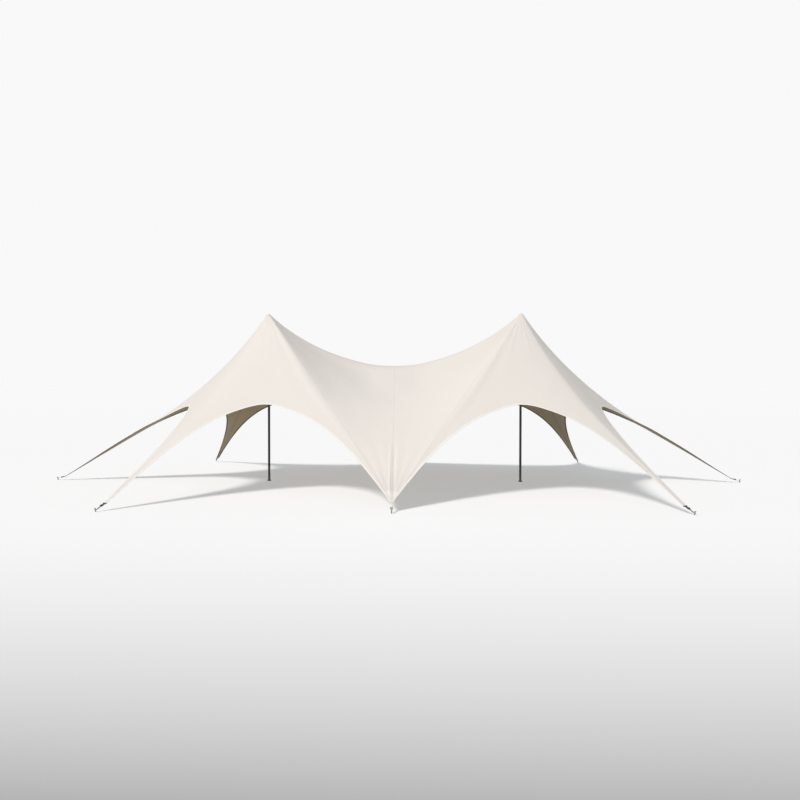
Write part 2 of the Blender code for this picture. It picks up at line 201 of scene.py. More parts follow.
# Tighteners: length and width, their place on the free way from clamp to stake, their side walls, and the
# spool
RATCHET = (0.085, 0.060)
RATCHET_PLACE = {"end": 0.06, "corner": 0.06, "middle": 0.65}
CHEEK = 0.0026
SPOOL_AT = 0.030
SPOOL_HEIGHT = 0.007

# Straps: width, thickness and rounding. Each stop gives the place that it is measured from, the way on from
# there, its width and thickness as shares of the strap's, and its height.
STRAP = (0.045, 0.0026)
STRAP_ROUNDING = 0.6
UPPER_STOPS = (
    ("clamp", 0.0, 0.9, 2.2, 0.0),
    ("clamp", 0.006, 1.0, 1.9, 0.0),
    ("tightener", -0.004, 1.0, 1.9, 0.0),
    ("spool", -0.012, 1.0, 1.0, SPOOL_HEIGHT + 0.009),
    ("spool", 0.0, 1.0, 1.0, SPOOL_HEIGHT + 0.0125),
    ("spool", 0.010, 1.0, 1.0, SPOOL_HEIGHT + 0.008),
)
LOWER_STOPS = (
    ("floor", 0.0, 1.0, 2.0, 0.0035),
    ("floor", 0.02, 1.0, 1.8, 0.002),
    ("stake", -0.045, 1.0, 1.8, 0.0),
    ("stake", -0.012, 0.62, 2.2, 0.0),
    ("stake", 0.004, 0.5, 2.6, 0.0),
)

# Masts: the joint and its pins, the tubes, and the foot. Bolts are given by their number, first angle and
# circle, and by the radius, length and rounding of each.
MAST_JOINT = 2.60
PIN_AWAY = 0.09
SLEEVE_RADIUS = 0.041
TUBE_RADIUS = 0.035
FOOT_RIM = 0.009
FOOT_BOLTS = (4, math.pi / 4, 0.0515, 0.005, 0.010, 0.0006)
HEAD_BOLTS = (6, 0.0, 0.058, 0.004, 0.020, 0.0005)

# Peak caps: the height of their edge, their outline as radius and height over it, and their gores, which
# bulge between the seams
CAP_FOOT = CANOPY_TOP + SHEET / 2 + 0.0003
CAP_LINE = ((0.088, 0.0), (0.074, 0.006), (0.060, 0.017), (0.048, 0.0315), (0.034, 0.046),
            (0.021, 0.058), (0.012, 0.065), (0.005, 0.069))
CAP_CROWN = 0.0008
CAP_THICKNESS = 0.002
CAP_SLANT = 0.4
CAP_GORES = 8
CAP_BULGE = 0.02
CAP_STEPS = 64
CAP_UV = (0.0087, 0.012)
CAP_MERGE = 0.00002

# Camera, floor, backdrop and suns. A sun has its tint, the way its light travels, its width in degrees, and
# whether it casts shadows.
CAMERA_PLACE = (0.23, -23.92, 2.95)
CAMERA_YAW = math.radians(-1.85)
CAMERA_PITCH = math.radians(-1.24)
CAMERA_LENS = 36
CAMERA_SENSOR = 36
CAMERA_SHIFT = 0.03
CAMERA_REACH = 2000
FLOOR_SIZE = 1600
FLOOR_COLOUR = (0.80, 0.80, 0.80)
BACKDROP_COLOUR = (0.945, 0.945, 0.945)
KEY_SUN = ((1.03, 1.0, 0.965), (0.69, 0.75, -1.0), 11.0, True)
FILL_SUN = ((0.97, 1.0, 1.035), (0.2, 0.25, -1.0), 40.0, False)

# Painted shade: the floor is painted darker in front of the tent, the more the nearer it lies to the camera's
# end of the stage. The painted shade fades out to both sides and behind the camera, and the far floor is
# painted a little lighter, as painted light.
FADE_REACH = 8.741
FADE_NEAREST = 0.1
FADE_START = 0.5085
FADE_CURVE = 1.45
FADE_DEPTH = 0.453
FADE_MOST = 0.5
FADE_SIDES = (15.0, 9.0)
FADE_BEHIND = (1.5, 5.3)
FAR = (25.0, 120.0)
FAR_LIFT = 1.013

# Rows of stitching or edging on each kind of band, in metres round it
HEM_ROWS = (0.004, 0.010, 0.046)
BINDING_ROWS = (0.006,)
TAPE_ROWS = (0.005, 0.012, 0.028, 0.035)
BELT_ROWS = (0.004, 0.041)
STRAP_ROWS = (0.005, 0.040)

# What the widths of bands and all colours have in common as properties
BAND = {"min": 0.02, "max": 0.1, "unit": "LENGTH"}
COLOUR = {"size": 3, "min": 0.0, "max": 1.0, "subtype": "COLOR"}

# Colour of soil on the fittings, the finishes made so far, and the sewn panels by kind, depth and side
DUST = (0.36, 0.32, 0.27)
FINISHES = {}
SHEETS = {}

# How the net's quarter, which lies at the front left, is mirrored along X and Y for the others
SIDES = {"left": 1.0, "right": -1.0}
DEPTHS = {"front": 1.0, "back": -1.0}


def unit(vector):
    return vector / np.linalg.norm(vector)


def rise(value, start, stop):
    """A smooth step from 0 at start to 1 at stop."""
    share = np.clip((value - start) / (stop - start), 0.0, 1.0)
    return share * share * (3 - 2 * share)


def window(value, up, down):
    """Rises over the first span and falls over the second."""
    return rise(value, *up) * (1 - rise(value, *down))


def arm_frame(arm, mount, toward):
    """Tip of an arm, the way its strap runs down, its crosswise direction and its upward normal."""
    reach, height = TIP_PLACE[arm]
    ground = np.array(MOUNTS[mount])
    inward = unit(np.array([toward - ground[0], -ground[1], 0.0]))
    tip = ground + inward * reach + np.array([0, 0, height])
    eye_side = STAKE_RADIUS + EYE_WALL / 2 - HOOK_HEIGHT * math.tan(STAKE_LEAN)
    hook = ground + inward * eye_side + np.array([0, 0, HOOK_HEIGHT])
    down = unit(hook - tip)
    across = np.array([-inward[1], inward[0], 0.0])
    return {"ground": ground, "inward": inward, "tip": tip, "hook": hook, "down": down,
            "across": across, "normal": np.cross(across, down)}


# One quarter of the net: the mast at -X with its end, corner and middle arms at -Y
ARMS = {
    "end": arm_frame("end", "stake_end_left", -MAST_X),
    "corner": arm_frame("corner", "stake_front_left", -MAST_X),
    "middle": arm_frame("middle", "stake_front_middle", 0.0),
}
# Each sector runs from an arm's middle to the opening or ridge beside it. Its share of the tip
# goes from the first to the second number, in half widths across the arm.
SECTORS = {
    ("end", "side"): (0.0, -1.0),
    ("corner", "side"): (0.0, 1.0),
    ("corner", "front"): (0.0, -1.0),
    ("middle", "front"): (0.5, 1.0),
    ("middle", "ridge"): (0.5, 0.0),
}
FIRST_GUESS = {"side": (-7.4, -1.6, 2.3), "front": (-4.0, -1.6, 2.3), "ridge": (0.0, 0.0, 3.4)}
PANELS = {
    "end": [("end", "side"), ("corner", "side")],
    "arch": [("corner", "front"), ("middle", "front")],
    "saddle": [("middle", "ridge")],
}
# The eight anchors as arm, side and depth. An end arm has one for both depths, a middle arm one for both
# sides.
ANCHORS = [(arm, side, depth) for arm in ARMS for side in SIDES for depth in DEPTHS
           if (arm, depth) != ("end", "back") and (arm, side) != ("middle", "right")]


class Net:
    """The quarter net's points, found by balance of the pulls in its threads."""

    def __init__(self):
        self.numbers = {}
        self.points = []
        self.held = {}
        self.grids = {sector: self.lay_sector(*sector, *share) for sector, share in SECTORS.items()}
        self.places = self.settle()
        self.trim_end_arms()
        self.drop_side_arches()
        self.round_hollow()

    def point(self, key, place, held):
        """Number of the point with that key, made on first use. held says which axes it can't move along."""
        if key not in self.numbers:
            self.numbers[key] = len(self.points)
            self.points.append(np.array(place, float))
            self.held[self.numbers[key]] = held
        return self.numbers[key]

    def bearing(self, name):
        """Direction at the peak, in radians, of an arm or of the gap beside it."""
        if name == "ridge":
            return 2 * math.pi
        if name in ARMS:
            tip = ARMS[name]["tip"]
            return math.atan2(tip[1], tip[0] + MAST_X) % (2 * math.pi)
        pair = ("end", "corner") if name == "side" else ("corner", "middle")
        return sum(self.bearing(arm) for arm in pair) / 2

    def lay_sector(self, arm, beside, near, far):
        """Numbers of a sector's points, by row and column. Neighbours share the points of their border."""
        grid = np.zeros((ROWS + 1, COLUMNS + 1), int)
        peak = np.array([-MAST_X, 0.0, CANOPY_TOP])
        tip = ARMS[arm]["tip"]
        guess = np.array(FIRST_GUESS[beside])
        for row in range(ROWS + 1):
            inner = peak + (tip - peak) * row / ROWS
            if row <= ARCH_ROW:
                outer = peak + (guess - peak) * row / ARCH_ROW
            else:
                outer = guess + (tip - guess) * (row - ARCH_ROW) / (ROWS - ARCH_ROW)
            for column in range(COLUMNS + 1):
                share = column / COLUMNS
                place = inner + (outer - inner) * share
                held = [False, False, False]
                if row == 0:
                    turn = self.bearing(arm) * (1 - share) + self.bearing(beside) * share
                    place = peak + RING_RADIUS * np.array([math.cos(turn), math.sin(turn), 0.0])
                    key, held = ("ring", round(turn, 6)), [True] * 3
                elif row == ROWS:
                    offset = near + (far - near) * share
                    place = tip + ARMS[arm]["across"] * offset * TIP_WIDTH / 2
                    key, held = ("tip", arm, round(offset, 4)), [True] * 3
                elif column == 0:
                    key = ("middle line", arm, row)
                    held[1] = arm == "end"
                elif column == COLUMNS and row <= ARCH_ROW:
                    key = ("gap line", beside, row)
                    held[1] = beside == "ridge"
                    held[0] = beside == "ridge" and row == ARCH_ROW
                elif column == COLUMNS:
                    key = ("hem", arm, beside, row)
                    held[0] = beside == "ridge"
                else:
                    key = ("cloth", arm, beside, row, column)
                if not all(held):
                    place = [0.0 if held[axis] else place[axis] for axis in range(3)]
                grid[row, column] = self.point(key, place, tuple(held))
        return grid

    def lengthwise_pull(self, arm, beside, row, column):
        """Pull of a thread down the arm. One on the sector's border is shared with its neighbour."""
        pull = SADDLE_PULL if beside == "ridge" else ARM_PULL[arm]
        if column == 0:
            return (pull + BELT_PULL[arm]) / 2
        if column < COLUMNS:
            return pull
        if beside == "ridge":
            return (pull + (RIDGE_PULL if row < ARCH_ROW else VALLEY_PULL)) / 2
        if row < ARCH_ROW:
            return pull / 2
        way = (ROWS - row - 0.5) / (ROWS - ARCH_ROW)
        return pull / 2 + HEM_PULL[arm, beside] * way ** HEM_FALL

    def threads(self):
        """Both ends of each thread and its pull, down the arms and across them."""
        for (arm, beside), grid in self.grids.items():
            for row in range(ROWS):
                for column in range(COLUMNS + 1):
                    pull = self.lengthwise_pull(arm, beside, row, column)
                    yield grid[row, column], grid[row + 1, column], pull
            for row in range(1, ROWS):
                pull = CROSS_PULL * (row / ROWS) ** CROSS_FALL * (ARM_CROSS if row > ARCH_ROW else 1.0)
                for column in range(COLUMNS):
                    yield grid[row, column], grid[row, column + 1], pull

    def settle(self):
        """Solves for the free points, where the pulls of the threads cancel out."""
        places = np.array(self.points)
        held = np.array([self.held[number] for number in range(len(places))])
        balance = np.zeros((len(places), len(places)))
        for first, second, pull in self.threads():
            balance[first, first] += pull
            balance[second, second] += pull
            balance[first, second] -= pull
            balance[second, first] -= pull
        for axis in range(3):
            fixed = held[:, axis]
            load = -balance[np.ix_(~fixed, fixed)] @ places[fixed, axis]
            places[~fixed, axis] = np.linalg.solve(balance[np.ix_(~fixed, ~fixed)], load)
        return places

    def trim_end_arms(self):
        """Gives each end arm its slim root, its wider outer part and its raised hems."""
        grid = self.grids["end", "side"]
        for row in range(ARCH_ROW + 1, ROWS):
            down = row / ROWS
            waist = WAIST * math.exp(-((down - WAIST_PLACE) / WAIST_REACH) ** 2)
            widening = WIDEN * rise(down, *WIDEN_SPAN) - waist
            lift = CUP * window(down, CUP_START, CUP_END)
            middle = self.places[grid[row, 0]]
            for column in range(1, COLUMNS + 1):
                share = column / COLUMNS
                away = self.places[grid[row, column]] - middle
                self.places[grid[row, column]] = middle + away * (1 + widening * share)
                self.places[grid[row, column], 2] += lift * share ** 2

    def drop_side_arches(self):
        """Lowers the cloth round the crown of each side arch."""
        drops = {}
        for sector in (("end", "side"), ("corner", "side")):
            grid = self.grids[sector]
            for row in range(1, ROWS):
                near = math.exp(-((row / ROWS - ARCH_ROW / ROWS) / DROP_REACH) ** 2)
                for column in range(1, COLUMNS + 1):
                    drops[grid[row, column]] = SIDE_ARCH_DROP * near * (column / COLUMNS) ** 2
        for number, drop in drops.items():
            self.places[number, 2] -= drop

    def round_hollow(self):
        """Lifts the middle of the saddle until the ridge runs level through it."""
        near = np.clip(1 - np.abs(self.places[:, 0]) / HOLLOW_REACH, 0.0, 1.0) ** 2
        self.places[:, 2] += HOLLOW_LIFT * near * np.exp(-(self.places[:, 1] / HOLLOW_DEPTH) ** 2)


def deselect_all():
    for other in bpy.context.selected_objects:
        other.select_set(False)


def activate(piece):
    deselect_all()
    piece.select_set(True)
    bpy.context.view_layer.objects.active = piece


def apply_modifiers(piece):
    activate(piece)
    for modifier in list(piece.modifiers):
        bpy.ops.object.modifier_apply(modifier=modifier.name)


def read(items, name, kind, width):
    """One property of all the items of a mesh, in rows of that width."""
    values = np.empty(len(items) * width, kind)
    items.foreach_get(name, values)
    return values.reshape(-1, width)


def rim(faces):
    """Pairs of points that are the edges of a sheet, since only one face has them."""
    count = {}
    for face in faces:
        for pair in zip(face, face[1:] + face[:1]):
            key = (min(pair), max(pair))
            count[key] = count.get(key, 0) + 1
    return [pair for pair, uses in count.items() if uses == 1]


def soft_piece(name, points, faces, finishes, uvs=None, face_finishes=None, smooth_angle=SOFT_ANGLE):
    """A sewn piece from its points. uvs holds one pair for each corner of each face."""
    mesh = bpy.data.meshes.new(name)
    mesh.from_pydata([tuple(point) for point in points], [], faces)
    if uvs is not None:
        layer = mesh.uv_layers.new(name="UVMap")
        layer.data.foreach_set("uv", np.array(uvs, np.float32).ravel())
    for finish_name in finishes:
        mesh.materials.append(finish(finish_name))
    if face_finishes is not None:
        mesh.polygons.foreach_set("material_index", np.array(face_finishes, np.int32))
    mesh.shade_smooth()
    mesh.set_sharp_from_angle(angle=math.radians(smooth_angle))
    piece = bpy.data.objects.new(name, mesh)
    bpy.context.scene.collection.objects.link(piece)
    return piece


def thicken(piece, thickness, inner_finish):
    """Gives a sheet its thickness, half to each side, with sharp cut edges."""
    thick = piece.modifiers.new("Thickness", "SOLIDIFY")
    thick.thickness = thickness
    thick.offset = 0.0
    thick.material_offset = inner_finish
    apply_modifiers(piece)
    piece.data.set_sharp_from_angle(angle=math.radians(CUT_ANGLE))


def dress(piece, slot, *nodes):
    """The piece rides with the tent and stands for these nodes, which are hidden. The slot is not used."""
    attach(piece, BODY)
    if nodes:
        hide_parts(*nodes)
    return piece


def sweep(name, rings, finishes, face_finishes=None, smooth_angle=SOFT_ANGLE):
    """A closed bar through rings of points. Its UV runs along the bar and round it, in metres."""
    rings = np.asarray(rings, float)
    stations, around = rings.shape[:2]
    middles = rings.mean(axis=1)
    along = np.concatenate([[0.0], np.cumsum(np.linalg.norm(np.diff(middles, axis=0), axis=1))])
    sides = np.linalg.norm(np.roll(rings, -1, axis=1) - rings, axis=2).mean(axis=0)
    girth = np.concatenate([[0.0], np.cumsum(sides)])
    faces = []
    uvs = []
    finish_of = []
    for station in range(stations - 1):
        for side in range(around):
            after = (side + 1) % around
            base, above = station * around, (station + 1) * around
            faces.append([base + side, base + after, above + after, above + side])
            uvs.append([(along[station], girth[side]), (along[station], girth[side + 1]),
                        (along[station + 1], girth[side + 1]), (along[station + 1], girth[side])])
            finish_of.append(0 if face_finishes is None else face_finishes[side])
    for base, turned in ((0, True), ((stations - 1) * around, False)):
        cap = [base + side for side in range(around)]
        faces.append(cap[::-1] if turned else cap)
        uvs.append([(along[-1], girth[-1])] * around)
        finish_of.append(0)
    points = rings.reshape(-1, 3)
    first, second, third = (points[[face[corner] for face in faces]] for corner in range(3))
    volume = np.einsum("ij,ij->", first - points[0], np.cross(second - points[0], third - points[0]))
    if volume < 0:
        faces = [face[::-1] for face in faces]
        uvs = [uv[::-1] for uv in uvs]
    flat_uvs = [pair for uv in uvs for pair in uv]
    return soft_piece(name, points, faces, finishes, flat_uvs, finish_of, smooth_angle)


class Finish:
    """A Principled material with a few nodes for its pattern and relief."""

    def __init__(self, name, colour, roughness, metallic=0.0, sheen=0.0):
        self.material = bpy.data.materials.new(name)
        self.material.use_nodes = True
        self.nodes = self.material.node_tree.nodes
        self.links = self.material.node_tree.links
        self.shader = self.nodes["Principled BSDF"]
        self.colour = tuple(colour)
        self.set("Base Color", (*self.colour, 1.0))
        self.set("Roughness", roughness)
        self.set("Metallic", metallic)
        self.set("Sheen Weight", sheen)
        self.set("Sheen Roughness", 0.6)
        self.place = self.nodes.new("ShaderNodeTexCoord")
        self.relief = None

    def set(self, socket, value):
        self.shader.inputs[socket].default_value = value

    def node(self, kind, inputs, out=0, **settings):
        made = self.nodes.new(kind)
        for key, value in settings.items():
            setattr(made, key, value)
        for socket, value in inputs.items():
            if isinstance(value, bpy.types.NodeSocket):
                self.links.new(value, made.inputs[socket])
            else:
                made.inputs[socket].default_value = value
        return made.outputs[out]

    def axis(self, name, source="Object"):
        """One coordinate of the place on the piece."""
        return self.node("ShaderNodeSeparateXYZ", {"Vector": self.place.outputs[source]}, name)

    def calculate(self, operation, *values):
        return self.node("ShaderNodeMath", dict(enumerate(values)), operation=operation)

    def noise(self, scale, detail=3.0, stretch=(1.0, 1.0, 1.0), source="Object"):
        vector = self.node("ShaderNodeMapping", {"Vector": self.place.outputs[source], "Scale": stretch})
        return self.node("ShaderNodeTexNoise", {"Vector": vector, "Scale": scale, "Detail": detail})

    def spread(self, factor, low, high, bottom=0.0, top=1.0):
        """The factor from low to high, laid out from bottom to top."""
        return self.node("ShaderNodeMapRange", {"Value": factor, "From Min": low, "From Max": high,
                                                "To Min": bottom, "To Max": top})

    def blend(self, factor, first, second):
        """A colour between two, which are triples or other nodes' colours."""
        whole = [(*colour, 1.0) if isinstance(colour, tuple) else colour for colour in (first, second)]
        return self.node("ShaderNodeMix", {"Factor": factor, 6: whole[0], 7: whole[1]}, 2, data_type="RGBA")

    def shade(self, share):
        return tuple(min(part * share, 1.0) for part in self.colour)

    def paint(self, colour):
        self.links.new(colour, self.shader.inputs["Base Color"])

    def roughen(self, factor):
        self.links.new(factor, self.shader.inputs["Roughness"])

    def raise_by(self, height, distance):
        """Adds relief of that height, in metres, on top of what is there."""
        inputs = {"Height": height, "Distance": distance, "Strength": 1.0}
        if self.relief is not None:
            inputs["Normal"] = self.relief
        self.relief = self.node("ShaderNodeBump", inputs)
        self.links.new(self.relief, self.shader.inputs["Normal"])

    def weave(self, pitch, source="Object"):
        """Crossed threads, as the larger of two rows of rounded ridges."""
        turns = [self.calculate("MULTIPLY", self.axis(name, source), 2 * math.pi / pitch) for name in "XY"]
        return self.calculate("MAXIMUM", *[self.calculate("SINE", turn) for turn in turns])

    def stitches(self, rows, pitch=0.006, width=0.0011, filled=0.62):
        """A mask of dashes along the piece, in rows at these distances round it. filled is a dash's share."""
        way = self.calculate("FRACT", self.calculate("DIVIDE", self.axis("X", "UV"), pitch))
        around = self.axis("Y", "UV")
        mask = 0.0
        for row in rows:
            mask = self.calculate("ADD", self.calculate("COMPARE", around, row, width / 2), mask)
        return self.calculate("MULTIPLY", self.calculate("LESS_THAN", way, filled), mask)


def coated_cloth(name, colour, sheen, mottle, grime):
    """Coated stretch cloth: soft mottling, faint creases from packing, a fine weave, grime at the ground."""
    made = Finish(name, colour, roughness=0.74, sheen=sheen)
    tone = made.blend(made.noise(scale=0.5, detail=5.0), made.shade(1 - mottle), made.shade(1 + mottle))
    fine = made.spread(made.noise(scale=7.0, detail=4.0), low=0.35, high=0.65)
    tone = made.blend(made.calculate("MULTIPLY", fine, mottle), tone, made.shade(1 - 3 * mottle))
    soiled = made.calculate("MULTIPLY", made.spread(made.axis("Z"), low=0.9, high=0.1), grime)
    made.paint(made.blend(soiled, tone, made.shade(0.62)))
    made.raise_by(made.noise(scale=1.7, detail=2.0, stretch=(1.0, 1.0, 0.5)), distance=0.012)
    made.raise_by(made.weave(pitch=0.0016), distance=0.00012)
    return made


def sewn_cloth(name, colour, rows, thread):
    """Doubled cloth with rows of stitching and puckers between the stitches."""
    made = coated_cloth(name, colour, sheen=0.1, mottle=0.02, grime=0.3)
    mask = made.stitches(rows)
    base = made.shader.inputs["Base Color"].links[0].from_socket
    made.paint(made.blend(mask, base, made.shade(thread)))
    made.raise_by(made.noise(scale=60.0, detail=2.0, stretch=(1.0, 0.25, 1.0), source="UV"), distance=0.0008)
    made.raise_by(mask, distance=-0.0006)
    return made


def webbing(name, colour, rows):
    """Woven strap: crossed ribs, and rows of stitching along its edges."""
    made = Finish(name, colour, roughness=0.8, sheen=0.25)
    ribs = made.weave(pitch=0.0024, source="UV")
    tone = made.blend(made.spread(ribs, low=-1.0, high=1.0), made.shade(0.72), made.shade(1.06))
    made.paint(made.blend(made.stitches(rows), tone, made.shade(0.5)))
    made.raise_by(ribs, distance=0.0003)
    made.raise_by(made.noise(scale=90.0), distance=0.0003)
    return made


def coated_metal(name, colour, roughness, dust):
    """Powder-coated metal: a fine orange-peel skin, rubbed patches and dust near the ground."""
    made = Finish(name, colour, roughness)
    made.set("Coat Weight", 0.25)
    made.set("Coat Roughness", 0.3)
    rubbed = made.spread(made.noise(scale=14.0, detail=6.0, stretch=(1.0, 1.0, 0.3)), low=0.55, high=0.75)
    tone = made.blend(rubbed, made.shade(0.85), made.shade(1.7))
    near = made.spread(made.axis("Z"), low=0.35, high=0.0)
    dusty = made.calculate("MULTIPLY", near, made.noise(scale=30.0, detail=5.0))
    made.paint(made.blend(made.calculate("MULTIPLY", dusty, dust), tone, DUST))
    worn = made.noise(scale=40.0, detail=5.0)
    made.roughen(made.spread(worn, low=0.3, high=0.7, bottom=roughness - 0.08, top=roughness + 0.12))
    made.raise_by(made.noise(scale=700.0, detail=1.0), distance=0.00012)
    return made


def zinc(name, colour):
    """Zinc-plated steel with a soft spangle and soil at its foot."""
    made = Finish(name, colour, roughness=0.45, metallic=0.9)
    cells = made.node("ShaderNodeTexVoronoi", {"Vector": made.place.outputs["Object"], "Scale": 160.0})
    tone = made.blend(cells, made.shade(0.8), made.shade(1.25))
    near = made.spread(made.axis("Z"), low=0.03, high=0.0)
    made.paint(made.blend(made.calculate("MULTIPLY", near, made.noise(scale=120.0, detail=4.0)), tone, DUST))
    made.roughen(made.spread(made.noise(scale=90.0, detail=4.0), low=0.3, high=0.7, bottom=0.34, top=0.6))
    made.raise_by(made.noise(scale=300.0, detail=3.0), distance=0.0002)
    return made


def finish(name):
    """The finish of that name, made when first asked for."""
    cloth = bpy.context.scene.tent_cloth
    fittings = bpy.context.scene.tent_fittings
    makers = {
        "canopy_outside": lambda: coated_cloth(
            name, cloth.outside_colour, sheen=0.12, mottle=0.02, grime=0.35),
        "canopy_inside": lambda: coated_cloth(
            name, cloth.inside_colour, sheen=0.05, mottle=0.06, grime=0.1),
        "pocket_cloth": lambda: coated_cloth(name, cloth.hem_colour, sheen=0.1, mottle=0.02, grime=0.2),
        "hem_outside": lambda: sewn_cloth(name, cloth.hem_colour, rows=HEM_ROWS, thread=0.8),
        # The inside of the hems: dark binding, partly painted shade on the arms' undersides
        "hem_inside": lambda: sewn_cloth(name, cloth.binding_and_shade_colour, rows=BINDING_ROWS, thread=1.6),
        "seam_tape": lambda: sewn_cloth(name, cloth.outside_colour, rows=TAPE_ROWS, thread=0.9),
        # Belts: dark webbing, partly painted shade on the arms' undersides
        "belt": lambda: webbing(name, cloth.belt_and_shade_colour, rows=BELT_ROWS),
        "pale_webbing": lambda: webbing(name, fittings.webbing_colour, rows=STRAP_ROWS),
        "dark_webbing": lambda: webbing(name, fittings.strap_colour, rows=STRAP_ROWS),
        "mast_paint": lambda: coated_metal(name, fittings.mast_colour, roughness=0.38, dust=0.5),
        "dark_steel": lambda: coated_metal(name, fittings.dark_colour, roughness=0.42, dust=0.4),
        "zinc": lambda: zinc(name, fittings.zinc_colour),
    }
    if name not in FINISHES:
        FINISHES[name] = makers[name]().material
    return FINISHES[name]


class Canopy:
    """The whole cloth as one smooth sheet over the net's points, and its twelve panels."""

    def __init__(self, net, level):
        self.numbers = {}
        self.control = []
        self.panels = [Panel(kind, side, depth) for side in SIDES for depth in DEPTHS for kind in PANELS]
        faces = self.lay_faces(net)
        self.fit_subdivision(level, faces)
        self.refine_hollow()
        self.read_surface()
        self.move(self.points + self.smooth_hollow())
        lift = np.zeros(len(self.points))
        for panel in self.panels:
            lift[panel.used] = panel.folds(net)
        self.move(self.points + self.normals * lift[:, None])
        bpy.data.objects.remove(self.sheet, do_unlink=True)
        for panel in self.panels:
            panel.find_lines()

    def lay_faces(self, net):
        """The sheet's faces, from the nets of all four quarters. Each face carries its panel's number."""
        faces = []
        shares = []
        owners = []
        for owner, panel in enumerate(self.panels):
            for order, sector in enumerate(PANELS[panel.kind]):
                places = net.places[net.grids[sector]] * panel.flip
                stops = np.array([[self.number(place) for place in row] for row in places])
                panel.stops[sector] = stops
                for row in range(ROWS):
                    for column in range(COLUMNS):
                        around = [(row, column), (row + 1, column), (row + 1, column + 1), (row, column + 1)]
                        if order == (panel.flip[0] * panel.flip[1] > 0):
                            around.reverse()
                        faces.append([int(stops[place]) for place in around])
                        shares += [(abs(2 * order - c / COLUMNS), r / ROWS) for r, c in around]
                        owners.append(owner)
        self.sheet = soft_piece("canopy", self.control, faces, [], shares, owners, NO_EDGE)
        return faces

    def number(self, place):
        """Number of the control point at a place. Mirrored quarters share those on their border."""
        key = tuple(np.round(place, 5) + 0.0)
        if key not in self.numbers:
            self.numbers[key] = len(self.control)
            self.control.append(place)
        return self.numbers[key]

    def fit_subdivision(self, level, faces):
        """Subdivides the sheet. Its edges and ridge keep to the net's points, and the rest is eased."""
        smooth = self.sheet.modifiers.new("Smooth", "SUBSURF")
        smooth.levels = smooth.render_levels = level
        smooth.boundary_smooth = "PRESERVE_CORNERS"
        smooth.uv_smooth = "NONE"
        target = np.array(self.control)
        control = target.copy()
        kept = (np.abs(target[:, 1]) < TINY) & (np.abs(target[:, 0]) < MAST_X)
        kept[np.array(rim(faces)).ravel()] = True
        for fit_round in range(FIT_ROUNDS):
            evaluated = self.sheet.evaluated_get(bpy.context.evaluated_depsgraph_get())
            fine = evaluated.to_mesh()
            reached = np.array([fine.vertices[i].co for i in range(len(target))])
            evaluated.to_mesh_clear()
            if fit_round == 0:
                goal = np.where(kept[:, None], target, target + (reached - target) * EASE)
            control += goal - reached
            self.place_points(control)
        self.sheet.modifiers.new("Triangles", "TRIANGULATE")
        apply_modifiers(self.sheet)

    def refine_hollow(self):
        """Halves the long edges round the middle of the saddle, where eight faces meet."""
        mesh = bmesh.new()
        mesh.from_mesh(self.sheet.data)
        for _ in range(HOLLOW_HALVINGS):
            mesh.normal_update()
            near = [edge for edge in mesh.edges if edge.calc_length() > HOLLOW_EDGE
                    and all(corner.co.xy.length < HOLLOW_RING[1] for corner in edge.verts)]
            bmesh.ops.subdivide_edges(mesh, edges=near, cuts=1, smooth=1.0)
            bmesh.ops.triangulate(mesh, faces=[face for face in mesh.faces if len(face.verts) > 3])
        mesh.to_mesh(self.sheet.data)
        mesh.free()

    def smooth_hollow(self):
        """Steps up or down that give the middle of the saddle one even curve."""
        across, along, height = self.points.T
        distance = np.hypot(across, along)
        terms = np.stack([across ** x * along ** y for x, y in HOLLOW_POWERS], 1)
        ring = (distance > HOLLOW_RING[0]) & (distance < HOLLOW_RING[1])
        curve = np.linalg.lstsq(terms[ring], height[ring], rcond=None)[0]
        steps = np.zeros_like(self.points)
        steps[:, 2] = (terms @ curve - height) * (1 - rise(distance, *HOLLOW_RING))
        return steps

    def place_points(self, places):
        self.sheet.data.vertices.foreach_set("co", places.astype(np.float32).ravel())
        self.sheet.data.update()

    def move(self, places):
        self.place_points(places)
        self.read_surface()

    def read_surface(self):
        """Reads the points, their normals and the triangles, and hands each panel its own."""
        mesh = self.sheet.data
        self.points = read(mesh.vertices, "co", np.float32, 3).astype(float)
        self.normals = read(mesh.vertex_normals, "vector", np.float32, 3).astype(float)
        corners = read(mesh.loops, "vertex_index", np.int32, 1).reshape(-1, 3)
        shares = read(mesh.uv_layers["UVMap"].data, "uv", np.float32, 2).reshape(-1, 3, 2)
        owners = read(mesh.polygons, "material_index", np.int32, 1).ravel()
        for owner, panel in enumerate(self.panels):
            panel.take(self.points, self.normals, corners[owners == owner], shares[owners == owner])


